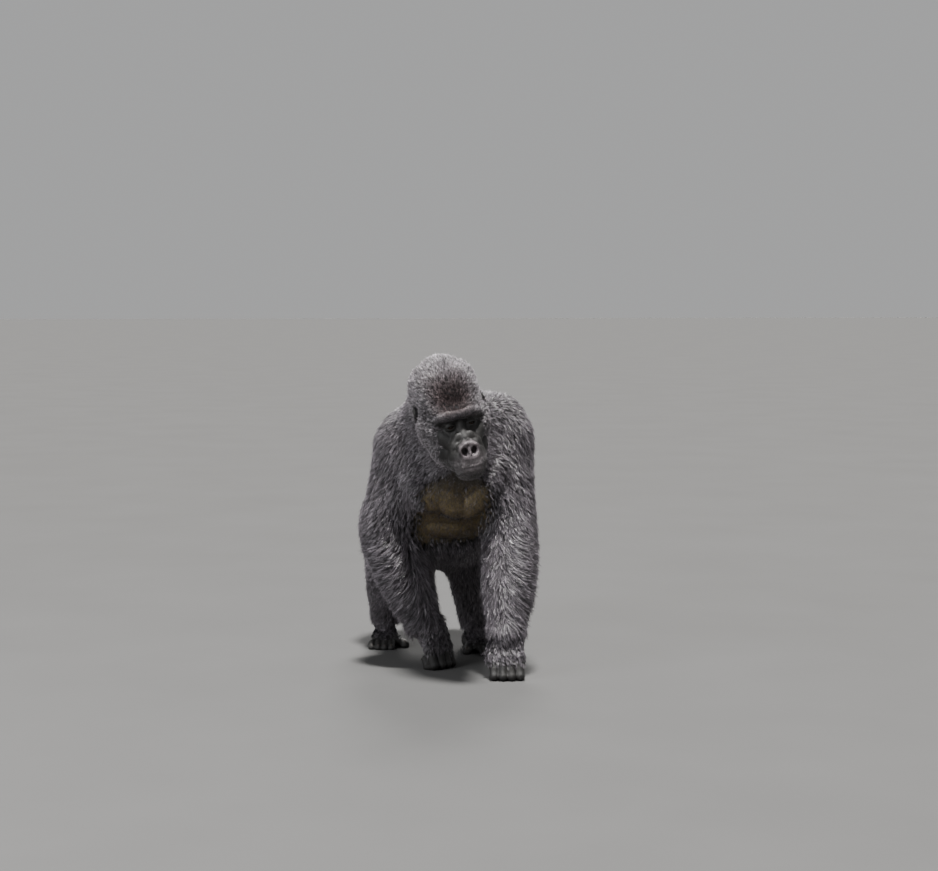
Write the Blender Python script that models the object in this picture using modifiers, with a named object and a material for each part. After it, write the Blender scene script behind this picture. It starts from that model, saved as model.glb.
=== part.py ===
"""Adult male mountain gorilla walking on its knuckles, life size, as a still museum model.

Units are metres, +Z up. The animal faces -Y, so its left side is +X. The body is built whole from
ellipsoids and tapered runs that stand for its muscle masses with the coat on them, fused, relaxed,
and then parted into head, neck, chest, belly, ears, eyes and the segments of each limb.
"""

import math

import bmesh
import bpy
from mathutils import Matrix, Vector

# ---- Driving dimensions -------------------------------------------------------------------------

GAP = 0.0004  # clearance between neighbouring nodes
FLOOR_DIG = 0.010  # how far hands and feet are modelled below the floor before they are cut flat

# Joints, measured from a point on the floor under the chest.
SHOULDER = {"left": Vector((0.180, -0.200, 0.850)), "right": Vector((-0.190, -0.140, 0.822))}
ELBOW = {"left": Vector((0.190, -0.262, 0.490)), "right": Vector((-0.244, -0.090, 0.495))}
WRIST = {"left": Vector((0.150, -0.385, 0.165)), "right": Vector((-0.110, -0.135, 0.160))}
HIP = {"left": Vector((0.105, 0.430, 0.580)), "right": Vector((-0.110, 0.430, 0.580))}
KNEE = {"left": Vector((0.125, 0.150, 0.325)), "right": Vector((-0.178, 0.245, 0.310))}
ANKLE = {"left": Vector((0.150, 0.262, 0.090)), "right": Vector((-0.172, 0.455, 0.090))}
KNUCKLES = {"left": Vector((0.146, -0.400, 0.0)), "right": Vector((-0.074, -0.140, 0.0))}
SIDE = {"left": 1, "right": -1}

# Which way each hand's back and each foot's toes point on the floor, in degrees from -Y towards +X.
HAND_TURN = {"left": -8.0, "right": 36.0}
FOOT_TURN = {"left": 8.0, "right": -10.0}
FINGER_PITCH = 0.029  # from one finger to the next
FINGER_RADIUS = 0.0175
HEEL_TO_TOE = 0.285

# The head's own frame has its origin midway between the eyes, x to the animal's left, y back, z up.
EYE_LINE = Vector((-0.052, -0.605, 0.915))
HEAD_ROLL = 13.0  # degrees, crown to the animal's right
HEAD_YAW = 3.0  # degrees, nose to the animal's left
HEAD_NOD = 7.0  # degrees, nose down
EYE_SPREAD = 0.0375
EYE_RADIUS = 0.0125
EYE_DEPTH = 0.012

ZONE_MARGIN = 0.012  # how far a limb's cutting zone stands off the limb
FILL = 0.045  # creases between the masses of the body are filled to about this radius
FILL_HEAD = 0.014
VOXEL_BODY, VOXEL_HEAD, VOXEL_WHOLE = 0.010, 0.004, 0.006
BODY_TRIANGLES, ENDS_TRIANGLES, HEAD_TRIANGLES, ZONE_TRIANGLES = 1780, 840, 1760, 150
ENDS_HEIGHT = 0.110  # hands and feet below this height keep finer facets

# Base colour and roughness of the coated body, of the bare hands, feet and ears, and of the eyes.
COAT = ((0.034, 0.031, 0.034), 0.80)
BARE_SKIN = ((0.022, 0.020, 0.021), 0.55)
EYE = ((0.060, 0.030, 0.014), 0.12)
BARE_NODES = ("ear", "hand", "foot")

# Where head, neck and chest meet: a point on the joint and the direction from head to chest.
HEAD_JOINT = (Vector((-0.050, -0.385, 0.905)), Vector((0.0, 0.876, -0.483)))
NECK_JOINT = (Vector((-0.015, -0.270, 0.870)), Vector((0.0, 0.800, -0.600)))
# Where the trunk divides behind the ribs, into chest and belly.
WAIST_JOINT = (Vector((0.0, 0.060, 0.650)), Vector((0.0, 0.985, 0.174)))


# ---- Clay: overlapping closed shapes that a voxel remesh fuses ----------------------------------

class Clay:
    """Ellipsoids and tapered runs gathered in one mesh, in a frame given by a matrix."""

    def __init__(self, frame=None, grow=0.0):
        self.bm = bmesh.new()
        self.shape = bpy.data.meshes.new("shape")
        self.frame = frame or Matrix.Identity(4)
        self.grow = grow

    def add(self, create, **sizes):
        """Makes one primitive by itself and gathers it."""
        one = bmesh.new()
        create(one, **sizes)
        one.to_mesh(self.shape)
        one.free()
        self.bm.from_mesh(self.shape)

    def ball(self, centre, radii, turn=(0.0, 0.0, 0.0)):
        """An ellipsoid, turned by degrees about its own x, y and z."""
        if not hasattr(radii, "__len__"):
            radii = (radii,) * 3
        place = self.frame @ Matrix.Translation(Vector(centre))
        for angle, axis in zip(turn, "XYZ"):
            place = place @ Matrix.Rotation(math.radians(angle), 4, axis)
        place = place @ Matrix.Diagonal([r + self.grow for r in radii] + [1.0])
        self.add(bmesh.ops.create_uvsphere, u_segments=20, v_segments=14, radius=1.0, matrix=place)

    def run(self, *stations):
        """A tapered tube with round ends through (point, radius) stations."""
        for (a, radius_a), (b, radius_b) in zip(stations, stations[1:]):
            a, b = Vector(a), Vector(b)
            along = b - a
            place = Matrix.Translation((a + b) / 2) @ along.to_track_quat("Z", "Y").to_matrix().to_4x4()
            self.add(
                bmesh.ops.create_cone,
                cap_ends=True,
                segments=20,
                radius1=radius_a + self.grow,
                radius2=radius_b + self.grow,
                depth=along.length,
                matrix=self.frame @ place,
            )
        for point, radius in stations:
            self.ball(point, radius)

    def to_object(self, name):
        mesh = bpy.data.meshes.new(name)
        self.bm.to_mesh(mesh)
        self.bm.free()
        bpy.data.meshes.remove(self.shape)
        obj = bpy.data.objects.new(name, mesh)
        bpy.context.scene.collection.objects.link(obj)
        return obj


def between(a, b, share):
    return Vector(a).lerp(Vector(b), share)


# ---- Blender helpers ----------------------------------------------------------------------------

def bake(obj):
    """Replaces the object's mesh by its evaluated one, so that its modifiers are used up."""
    graph = bpy.context.evaluated_depsgraph_get()
    mesh = bpy.data.meshes.new_from_object(obj.evaluated_get(graph))
    obj.modifiers.clear()
    obj.data = mesh
    return obj


def fuse(obj, voxel, rounds):
    """Fuses the overlapping shapes into one closed skin and relaxes it."""
    remesh = obj.modifiers.new("Fuse", "REMESH")
    remesh.mode = "VOXEL"
    remesh.voxel_size = voxel
    smooth = obj.modifiers.new("Relax", "SMOOTH")
    smooth.factor = 0.5
    smooth.iterations = rounds
    return bake(obj)


def swell(obj, amount):
    """Moves the whole surface out along its normals."""
    offset = obj.modifiers.new("Swell", "DISPLACE")
    offset.mid_level = 0.0
    offset.strength = amount
    return bake(obj)


def fill_creases(obj, radius, voxel, rounds):
    """Swells the skin until its narrow creases close, then draws it back and relaxes it."""
    swell(fuse(obj, voxel, 4), radius)
    swell(fuse(obj, voxel, 6), -radius)
    return fuse(obj, voxel, rounds)


def triangle_count(mesh, counts=lambda vertex: True):
    """Triangles of the faces whose first vertex counts."""
    return sum(len(p.vertices) - 2 for p in mesh.polygons if counts(mesh.vertices[p.vertices[0]]))


def thin(obj, triangles, counts=lambda vertex: True):
    """Collapses edges between the vertices that count until that region has this many triangles."""
    region = obj.vertex_groups.new(name="region")
    region.add([v.index for v in obj.data.vertices if counts(v)], 1.0, "REPLACE")
    everything = triangle_count(obj.data)
    fewer = obj.modifiers.new("Thin", "DECIMATE")
    fewer.ratio = (everything - triangle_count(obj.data, counts) + triangles) / everything
    fewer.vertex_group = region.name
    bake(obj)
    obj.vertex_groups.clear()
    return obj


def join(objs, name):
    """One object that holds the meshes of several, which are removed."""
    bm = bmesh.new()
    for obj in objs:
        bm.from_mesh(obj.data)
        bpy.data.objects.remove(obj)
    mesh = bpy.data.meshes.new(name)
    bm.to_mesh(mesh)
    bm.free()
    made = bpy.data.objects.new(name, mesh)
    bpy.context.scene.collection.objects.link(made)
    return made


def boolean(obj, cutter, operation):
    cut = obj.modifiers.new(operation.title(), "BOOLEAN")
    cut.operation = operation
    cut.solver = "EXACT"
    cut.object = cutter
    return bake(obj)


def copy_of(obj, name, grown=0.0):
    """A copy of the object, with its surface moved out by `grown`."""
    made = bpy.data.objects.new(name, obj.data.copy())
    bpy.context.scene.collection.objects.link(made)
    return swell(made, grown) if grown else made


def loose_parts(obj):
    """Separates the object into its loose parts, largest first."""
    bpy.ops.object.select_all(action="DESELECT")
    obj.select_set(True)
    bpy.context.view_layer.objects.active = obj
    bpy.ops.object.mode_set(mode="EDIT")
    bpy.ops.mesh.select_all(action="SELECT")
    bpy.ops.mesh.separate(type="LOOSE")
    bpy.ops.object.mode_set(mode="OBJECT")
    parts = list(bpy.context.selected_objects)
    bpy.ops.object.select_all(action="DESELECT")
    return sorted(parts, key=lambda part: len(part.data.vertices) * part.dimensions.length, reverse=True)


def largest(obj):
    """Drops the slivers that a Boolean leaves beside the main part."""
    name = obj.name
    main, *slivers = loose_parts(obj)
    for sliver in slivers:
        bpy.data.objects.remove(sliver)
    main.name = name
    return main


def slab(centre, normal, reach):
    """A square sheet as thick as the gap between nodes, across a limb."""
    bpy.ops.mesh.primitive_cube_add(size=1.0)
    made = bpy.context.object
    place = Matrix.Translation(centre) @ Vector(normal).to_track_quat("Z", "Y").to_matrix().to_4x4()
    made.data.transform(place @ Matrix.Diagonal((2 * reach, 2 * reach, GAP, 1.0)))
    return made


def part_at(obj, joint, reach, names):
    """Cuts the object across at a joint. The joint's direction points to the side that takes names[1]."""
    centre, normal = joint
    cutter = slab(centre, normal, reach)
    boolean(obj, cutter, "DIFFERENCE")
    bpy.data.objects.remove(cutter)
    two = loose_parts(obj)
    for sliver in two[2:]:
        bpy.data.objects.remove(sliver)

    def along(part):
        corners = [Vector(corner) for corner in part.bound_box]
        return (sum(corners, Vector()) / 8 - centre) @ normal

    first, second = sorted(two[:2], key=along)
    for part, name in zip((first, second, first, second), ("near", "far", *names)):
        part.name = name
    return first, second


# ---- Muscle masses with the coat on them --------------------------------------------------------

def trunk(clay):
    clay.ball((0.0, 0.440, 0.625), (0.160, 0.150, 0.150))  # rump
    clay.ball((0.0, 0.300, 0.640), (0.210, 0.220, 0.190))  # loin
    clay.ball((0.0, 0.120, 0.592), (0.245, 0.300, 0.268))  # belly
    clay.ball((-0.005, -0.050, 0.715), (0.240, 0.270, 0.245), (-14.0, 0.0, 0.0))  # rib cage
    clay.ball((-0.010, -0.200, 0.765), (0.215, 0.170, 0.180))  # upper chest
    clay.run(  # the long muscles of the back, from the hump between the shoulders to the tail bone
        ((0.0, -0.160, 0.865), 0.130),
        ((0.0, 0.060, 0.815), 0.140),
        ((0.0, 0.320, 0.715), 0.125),
        ((0.0, 0.440, 0.665), 0.110),
    )
    for side in SIDE.values():
        clay.ball((side * 0.128, -0.105, 0.878), (0.112, 0.160, 0.098))  # shoulder blade
        clay.run(  # the broad side of the back
            ((side * 0.105, -0.080, 0.840), 0.115),
            ((side * 0.105, 0.120, 0.770), 0.130),
            ((side * 0.100, 0.350, 0.675), 0.120),
        )
        clay.run(((side * 0.160, -0.070, 0.720), 0.095), ((side * 0.140, 0.190, 0.630), 0.110))
        clay.ball((side * 0.080 - 0.018, -0.300, 0.664), (0.108, 0.080, 0.098), (12.0, 0.0, 0.0))


def neck(clay):
    clay.run(  # nape
        ((-0.085, -0.385, 1.005), 0.120),
        ((-0.060, -0.270, 0.972), 0.132),
        ((-0.010, -0.140, 0.890), 0.140),
    )
    clay.run(((-0.045, -0.450, 0.850), 0.100), ((-0.020, -0.330, 0.780), 0.125))  # throat
    clay.run(  # left side of the neck
        ((-0.050, -0.330, 0.930), 0.115),
        ((0.080, -0.200, 0.905), 0.104),
        ((0.158, -0.185, 0.916), 0.099),
    )
    clay.run(  # right side of the neck
        ((-0.090, -0.330, 0.930), 0.112),
        ((-0.125, -0.180, 0.885), 0.100),
        ((-0.178, -0.130, 0.862), 0.090),
    )


def arm(clay, name):
    side, shoulder, elbow, wrist = SIDE[name], SHOULDER[name], ELBOW[name], WRIST[name]
    middle = between(shoulder, elbow, 0.5)
    clay.ball(shoulder + Vector((side * 0.012, 0.0, -0.015)), (0.100, 0.118, 0.130))  # deltoid
    clay.run((between(shoulder, elbow, 0.15), 0.102), (middle, 0.098), (elbow, 0.103))
    clay.ball(middle + Vector((side * 0.004, -0.022, 0.010)), (0.082, 0.082, 0.150))  # biceps
    clay.ball(middle + Vector((side * 0.008, 0.032, -0.020)), (0.084, 0.086, 0.165))  # triceps
    clay.ball(elbow + Vector((side * 0.006, 0.020, 0.020)), (0.096, 0.098, 0.110))  # elbow fringe
    clay.run(
        (between(elbow, wrist, 0.05), 0.107),
        (between(elbow, wrist, 0.35), 0.109),
        (between(elbow, wrist, 0.65), 0.100),
        (between(elbow, wrist, 0.90), 0.080),
        (wrist, 0.070),
    )


def floor_frame(point, turn):
    """A frame on the floor below the point: -Y turned towards +X by degrees, x across, z up."""
    place = Matrix.Translation((point.x, point.y, 0.0))
    return place @ Matrix.Rotation(math.radians(turn), 4, "Z")


def hand(clay, name):
    """Knuckle-walking hand: the middle joints of the four fingers carry it, the palm faces back."""
    side = SIDE[name]
    clay.frame = floor_frame(KNUCKLES[name], HAND_TURN[name])
    contact = FINGER_RADIUS - FLOOR_DIG
    clay.ball((0.0, 0.000, 0.120), (0.064, 0.046, 0.062))  # furred back of the hand
    for finger in range(4):
        across = (finger - 1.5) * FINGER_PITCH
        arch = 0.006 if finger in (1, 2) else 0.0
        root = (across * 0.95, -0.022 - arch, 0.076 + arch)
        clay.run(((across * 0.5, 0.0, 0.150), 0.028), (root, 0.0215))
        knuckle = (across * 1.06, -0.046 - arch, contact + 0.010)
        clay.run((root, 0.0205), (knuckle, FINGER_RADIUS))
        far_joint = (across * 1.06, -0.008, contact)
        clay.run((knuckle, FINGER_RADIUS), (far_joint, FINGER_RADIUS))
        clay.run((far_joint, 0.0165), ((across, 0.012, 0.034), 0.0150))
    clay.run(
        ((-side * 0.040, 0.012, 0.122), 0.022),
        ((-side * 0.062, 0.006, 0.078), 0.0165),
        ((-side * 0.056, -0.004, 0.048), 0.0140),
    )
    clay.frame = Matrix.Identity(4)


def leg(clay, name):
    side, hip, knee, ankle = SIDE[name], HIP[name], KNEE[name], ANKLE[name]
    out = Vector((side, 0.0, 0.0))
    clay.ball(between(hip, knee, 0.42) + out * 0.032, (0.125, 0.145, 0.180))  # thigh
    clay.run((hip + out * 0.010, 0.128), (between(hip, knee, 0.55), 0.128), (knee, 0.100))
    calf = between(knee, ankle, 0.34) + Vector((0.0, 0.016, 0.0))
    clay.run((knee, 0.098), (calf, 0.094), (between(knee, ankle, 0.75), 0.074), (ankle, 0.060))


def foot(clay, name):
    """Flat-standing foot with its big toe spread to the inside."""
    side = SIDE[name]
    clay.frame = floor_frame(ANKLE[name], FOOT_TURN[name])
    sole = -FLOOR_DIG
    toe_base, toe_tip = -0.140, 0.068 - HEEL_TO_TOE + 0.014
    clay.run(((0.0, 0.0, 0.090), 0.048), ((0.0, -0.045, 0.052), 0.038))  # instep
    clay.ball((0.0, 0.030, sole + 0.036), (0.038, 0.042, 0.036))  # heel
    for across in (-0.022, 0.020):
        clay.run(((across * 0.6, 0.020, sole + 0.034), 0.034), ((across, -0.105, sole + 0.030), 0.030))
    clay.ball((0.0, -0.118, sole + 0.028), (0.055, 0.042, 0.027))  # ball of the foot
    for toe in range(4):
        across = side * (0.042 - toe * 0.0235)
        reach = toe_tip + (0.012, 0.004, 0.0, 0.003)[toe]
        clay.run(
            ((across * 0.95, toe_base, sole + 0.026), 0.0165),
            ((across * 1.05, between((0, toe_base, 0), (0, reach, 0), 0.55).y, sole + 0.030), 0.0150),
            ((across * 1.08, reach, sole + 0.0165), 0.0140),
        )
    clay.run(
        ((-side * 0.028, -0.058, sole + 0.032), 0.026),
        ((-side * 0.062, -0.112, sole + 0.024), 0.0195),
        ((-side * 0.080, -0.148, sole + 0.021), 0.0185),
    )
    clay.frame = Matrix.Identity(4)


def head_frame():
    turn = Matrix.Rotation(math.radians(HEAD_YAW), 4, "Z")
    turn = turn @ Matrix.Rotation(math.radians(-HEAD_ROLL), 4, "Y")
    turn = turn @ Matrix.Rotation(math.radians(HEAD_NOD), 4, "X")
    return Matrix.Translation(EYE_LINE) @ turn


def skull(clay):
    clay.ball((0.0, 0.122, 0.074), (0.114, 0.124, 0.124))  # brain case and temple muscles
    clay.ball((0.0, 0.178, 0.118), (0.100, 0.126, 0.104))  # crest
    clay.ball((0.0, 0.205, 0.070), (0.126, 0.120, 0.142))  # back of the head
    clay.ball((0.0, 0.060, 0.062), (0.094, 0.064, 0.062))  # forehead
    clay.ball((0.0, 0.076, -0.035), (0.092, 0.080, 0.092))  # middle of the face
    clay.ball((0.0, 0.012, -0.108), (0.064, 0.072, 0.056))  # muzzle
    clay.ball((0.0, 0.060, -0.115), (0.074, 0.075, 0.066))  # under the jaw
    for side in SIDE.values():
        clay.ball((side * 0.054, 0.182, 0.117), (0.066, 0.112, 0.078))  # shoulders of the crest
        clay.ball((side * 0.072, 0.122, -0.012), (0.060, 0.090, 0.094))  # cheek
        clay.ball((side * 0.058, 0.100, -0.078), (0.052, 0.076, 0.076))  # lower cheek


def face(clay):
    clay.run(  # bridge of the nose
        ((0.0, 0.012, 0.016), 0.0160),
        ((0.0, 0.002, -0.020), 0.0185),
        ((0.0, -0.016, -0.050), 0.0235),
        ((0.0, -0.036, -0.076), 0.0250),
    )
    clay.ball((0.0, 0.002, -0.105), (0.067, 0.070, 0.054))  # muzzle
    clay.ball((0.0, -0.026, -0.121), (0.058, 0.040, 0.026))  # upper lip
    clay.ball((0.0, -0.018, -0.150), (0.055, 0.040, 0.022))  # lower lip
    clay.ball((0.0, 0.000, -0.164), (0.050, 0.044, 0.030))  # chin
    for side in SIDE.values():
        clay.run(  # brow ridge
            ((side * 0.086, 0.056, 0.016), 0.0220),
            ((side * 0.066, 0.016, 0.032), 0.0240),
            ((side * 0.034, 0.000, 0.040), 0.0240),
            ((0.0, 0.003, 0.038), 0.0220),
        )
        clay.run(  # cheek bone
            ((side * 0.078, 0.060, -0.012), 0.0300),
            ((side * 0.058, 0.036, -0.036), 0.0300),
            ((side * 0.036, 0.020, -0.060), 0.0300),
        )
        clay.run(((side * 0.018, 0.012, -0.018), 0.016), ((side * 0.030, -0.004, -0.068), 0.030))
        clay.ball((side * EYE_SPREAD, 0.022, 0.0), (0.025, 0.020, 0.0175))  # lids
        clay.ball((side * 0.0190, -0.048, -0.088), (0.0185, 0.0200, 0.0230))  # wing of the nose


def ear(name):
    """A small round ear, its rim curled about a shallow cup."""
    side = SIDE[name]
    root = Matrix.Translation((side * 0.124, 0.150, 0.040))
    lean = Matrix.Rotation(math.radians(side * 24.0), 4, "Z")
    clay = Clay(head_frame() @ root @ lean)
    rim = []
    for step in range(9):
        angle = math.radians(-70.0 + step * 32.0)
        rim.append(((side * 0.003, -0.0175 * math.cos(angle), 0.0235 * math.sin(angle)), 0.0050))
    clay.run(*rim)
    clay.ball((-side * 0.002, 0.0, 0.0), (0.0055, 0.0165, 0.0225))
    return thin(fuse(clay.to_object("ear_" + name), 0.0022, 2), 130)


def eye(name):
    """An eyeball; the lids show only its front."""
    frame = head_frame()
    bpy.ops.mesh.primitive_uv_sphere_add(segments=14, ring_count=8, radius=EYE_RADIUS)
    made = bpy.context.object
    made.name = "eye_" + name
    centre = Matrix.Translation((SIDE[name] * EYE_SPREAD, EYE_DEPTH, 0.0))
    facing = Matrix.Rotation(math.radians(90.0), 4, "X")
    made.data.transform(frame @ centre @ facing)
    made.data.shade_smooth()
    return made


# ---- Putting the animal together ----------------------------------------------------------------

def limb_zone(name, mass, end, radii):
    """The space that a limb takes, a little larger than the limb, used to part it from the trunk."""
    clay = Clay(grow=ZONE_MARGIN)
    mass(clay, name)
    clay.ball(end, radii)
    return thin(fuse(clay.to_object("zone"), VOXEL_BODY, 6), ZONE_TRIANGLES)


def whole_body():
    """The whole animal but its eyes and ears, as one closed skin."""
    body = Clay()
    trunk(body)
    neck(body)
    for name in SIDE:
        arm(body, name)
        leg(body, name)
    body = fill_creases(body.to_object("body"), FILL, VOXEL_BODY, 50)
    ends = Clay()
    for name in SIDE:
        hand(ends, name)
        foot(ends, name)
    ends = fuse(ends.to_object("ends"), VOXEL_HEAD, 3)
    dome = Clay(head_frame())
    skull(dome)
    dome = fill_creases(dome.to_object("dome"), FILL_HEAD, VOXEL_HEAD, 12)
    features = Clay(head_frame())
    face(features)
    features = fuse(join([dome, features.to_object("features")], "features"), VOXEL_HEAD, 7)
    whole = fuse(join([body, ends, features], "whole"), VOXEL_WHOLE, 3)
    middle = head_frame() @ Vector((0.0, 0.060, 0.015))

    def in_head(vertex):
        return vertex.co.y < middle.y + 0.09 and (vertex.co - middle).length < 0.245

    def in_ends(vertex):
        return vertex.co.z < ENDS_HEIGHT

    thin(whole, BODY_TRIANGLES, lambda vertex: not in_head(vertex) and not in_ends(vertex))
    thin(whole, ENDS_TRIANGLES, in_ends)
    return thin(whole, HEAD_TRIANGLES, in_head)


def cut_floor(obj):
    """Takes off all that lies below the floor, so that hands and feet stand on flats."""
    bpy.ops.mesh.primitive_cube_add(size=1.0)
    ground = bpy.context.object
    depth = 0.2
    below = Matrix.Translation((0.0, 0.0, -depth / 2))
    ground.data.transform(below @ Matrix.Diagonal((4.0, 4.0, depth, 1.0)))
    boolean(obj, ground, "DIFFERENCE")
    bpy.data.objects.remove(ground)


def cut_face(obj):
    """Nostrils and the line of the closed mouth."""
    hollows = Clay(head_frame())
    for side in SIDE.values():
        hollows.ball((side * 0.0150, -0.076, -0.093), (0.0080, 0.0210, 0.0120))
    hollows.run(
        ((-0.061, -0.014, -0.128), 0.0040),
        ((-0.043, -0.042, -0.134), 0.0048),
        ((0.0, -0.064, -0.137), 0.0052),
        ((0.043, -0.042, -0.134), 0.0048),
        ((0.061, -0.014, -0.128), 0.0040),
    )
    hollows = thin(fuse(hollows.to_object("hollows"), 0.002, 1), 180)
    boolean(obj, hollows, "DIFFERENCE")
    bpy.data.objects.remove(hollows)


def part_limb(whole, name, zone, segments, joints):
    """Takes a limb off the whole and cuts it across at its joints. Returns what is left of the whole."""
    limb = largest(boolean(copy_of(whole, "limb"), zone, "INTERSECT"))
    wider = copy_of(zone, "wider", GAP)
    whole = largest(boolean(whole, wider, "DIFFERENCE"))
    bpy.data.objects.remove(zone)
    bpy.data.objects.remove(wider)
    for segment, (joint, reach) in zip(segments, joints):
        limb = part_at(limb, joint, reach, (segment + "_" + name, "rest"))[1]
    limb.name = segments[-1] + "_" + name
    return whole


def part_arm(whole, name):
    shoulder, elbow, wrist = SHOULDER[name], ELBOW[name], WRIST[name]
    bend = (elbow - shoulder).normalized() + (wrist - elbow).normalized()
    joints = (((elbow, bend.normalized()), 0.25), ((wrist, (wrist - elbow).normalized()), 0.20))
    zone = limb_zone(name, arm, KNUCKLES[name] + Vector((0.0, 0.0, 0.080)), (0.125, 0.125, 0.150))
    return part_limb(whole, name, zone, ("upper_arm", "forearm", "hand"), joints)


def part_leg(whole, name):
    hip, knee, ankle = HIP[name], KNEE[name], ANKLE[name]
    bend = (knee - hip).normalized() + (ankle - knee).normalized()
    joints = (((knee, bend.normalized()), 0.30), ((ankle, Vector((0.0, 0.0, -1.0))), 0.20))
    zone = limb_zone(name, leg, ankle + Vector((0.0, -0.075, -0.050)), (0.125, 0.190, 0.110))
    return part_limb(whole, name, zone, ("thigh", "shank", "foot"), joints)


def material(name, colour, roughness):
    made = bpy.data.materials.new(name)
    made.use_nodes = True
    shader = made.node_tree.nodes["Principled BSDF"]
    shader.inputs["Base Color"].default_value = (*colour, 1.0)
    shader.inputs["Roughness"].default_value = roughness
    return made


def finish_of(node_name):
    """Each node's own material."""
    if node_name.startswith("eye"):
        return material(node_name + "_ball", *EYE)
    if node_name.startswith(BARE_NODES):
        return material(node_name + "_skin", *BARE_SKIN)
    return material(node_name + "_coat", *COAT)


def clear_scene():
    for obj in list(bpy.data.objects):
        bpy.data.objects.remove(obj)


def set_on_floor(nodes):
    """Brings the origin to the floor under the middle of the animal."""
    corners = [Vector(corner) for node in nodes for corner in node.bound_box]
    low = Vector([min(corner[i] for corner in corners) for i in range(3)])
    high = Vector([max(corner[i] for corner in corners) for i in range(3)])
    middle = (low + high) / 2
    for node in nodes:
        node.data.transform(Matrix.Translation((-middle.x, -middle.y, -low.z)))


def main():
    clear_scene()
    whole = whole_body()
    cut_floor(whole)
    cut_face(whole)
    for name in SIDE:
        whole = part_arm(whole, name)
        whole = part_leg(whole, name)
    skull_part, rest = part_at(whole, HEAD_JOINT, 0.35, ("head", "rest"))
    rest = part_at(rest, NECK_JOINT, 0.40, ("neck", "rest"))[1]
    part_at(rest, WAIST_JOINT, 0.50, ("chest", "belly"))
    for name in SIDE:
        ball = eye(name)
        socket = copy_of(ball, "socket", GAP)
        boolean(skull_part, socket, "DIFFERENCE")
        bpy.data.objects.remove(socket)
        shell = ear(name)
        around = copy_of(skull_part, "around", GAP)
        largest(boolean(shell, around, "DIFFERENCE"))
        bpy.data.objects.remove(around)
    nodes = [obj for obj in bpy.data.objects if obj.type == "MESH"]
    set_on_floor(nodes)
    shelf = bpy.data.collections.new("gorilla")
    bpy.context.scene.collection.children.link(shelf)
    for node in nodes:
        for before in node.users_collection:
            before.objects.unlink(node)
        shelf.objects.link(node)
        node.data.materials.clear()
        node.data.materials.append(finish_of(node.name))


if __name__ == "__main__":
    main()
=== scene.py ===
"""Life-size still model of a male mountain gorilla walking on its knuckles.

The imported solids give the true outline, out to the tips of the coat. Here one skin lies inside them by
the depth of the coat, with a finer face, ears, hands and feet, and the coat is grown over it in tufts.
Metres, +Z up. The animal faces -Y, so its left side is +X.
"""

import math
from typing import NamedTuple

import bpy
import numpy as np
from mathutils import Matrix, Vector
from mathutils.bvhtree import BVHTree
from mathutils.kdtree import KDTree


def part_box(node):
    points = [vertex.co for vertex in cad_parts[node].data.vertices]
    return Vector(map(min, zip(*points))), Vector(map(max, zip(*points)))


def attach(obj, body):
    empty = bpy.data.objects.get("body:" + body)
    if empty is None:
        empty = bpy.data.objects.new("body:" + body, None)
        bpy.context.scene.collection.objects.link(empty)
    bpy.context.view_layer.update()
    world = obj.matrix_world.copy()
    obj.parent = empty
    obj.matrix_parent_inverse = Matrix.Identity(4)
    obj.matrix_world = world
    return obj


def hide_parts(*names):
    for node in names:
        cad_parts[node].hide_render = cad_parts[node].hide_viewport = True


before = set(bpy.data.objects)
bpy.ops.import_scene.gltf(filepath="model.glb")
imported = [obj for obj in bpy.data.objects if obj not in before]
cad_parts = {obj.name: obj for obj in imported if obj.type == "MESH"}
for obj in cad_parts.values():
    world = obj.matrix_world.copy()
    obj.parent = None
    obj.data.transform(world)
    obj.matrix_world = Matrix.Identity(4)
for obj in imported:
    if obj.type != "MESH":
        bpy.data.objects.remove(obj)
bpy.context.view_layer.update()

# ---- Body plan ----------------------------------------------------------------------------------

SIDE = {"left": 1, "right": -1}
SHOULDER = {"left": Vector((0.180, -0.200, 0.850)), "right": Vector((-0.190, -0.140, 0.822))}
ELBOW = {"left": Vector((0.190, -0.262, 0.490)), "right": Vector((-0.244, -0.090, 0.495))}
WRIST = {"left": Vector((0.150, -0.385, 0.165)), "right": Vector((-0.110, -0.135, 0.160))}
KNUCKLES = {"left": Vector((0.146, -0.400, 0.0)), "right": Vector((-0.074, -0.140, 0.0))}
HIP = {"left": Vector((0.105, 0.430, 0.580)), "right": Vector((-0.110, 0.430, 0.580))}
KNEE = {"left": Vector((0.125, 0.150, 0.325)), "right": Vector((-0.178, 0.245, 0.310))}
ANKLE = {"left": Vector((0.150, 0.262, 0.090)), "right": Vector((-0.172, 0.455, 0.090))}
HAND_TURN = {"left": -8.0, "right": 36.0}
FOOT_TURN = {"left": 8.0, "right": -10.0}
FINGER_PITCH = 0.029
FINGER_RADIUS = 0.0170
FLOOR_DIG = 0.010  # hands and feet are modelled this far below the floor, then cut flat
SOLE = -FLOOR_DIG
TOE_BASE = -0.140  # in front of the ankle, as the next one is
TOE_TIP = -0.203

EYE_LINE = Vector((-0.052, -0.605, 0.915))  # midway between the eyes
HEAD_ROLL, HEAD_YAW, HEAD_NOD = 13.0, 3.0, 7.0
EYE_SPREAD = 0.0375
EYE_RADIUS = 0.0125
EYE_DEPTH = 0.012

FLESH = [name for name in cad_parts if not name.startswith("eye")]
CORE_VOXEL = 0.0065
HEAD_VOXEL = 0.0045
FINE_VOXEL = 0.0026
CUTTER_VOXEL = 0.0011
HANDS_AND_FEET = 0.115  # height up to which the skin keeps a middling mesh
EAR_REACH = 0.045
FULLNESS = 1.0  # share of the tufts that are grown
UV_PATCH = 0.003  # each tuft's patch on the unwrapped skin


def turned(degrees, axis):
    return Matrix.Rotation(math.radians(degrees), 4, axis)


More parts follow.
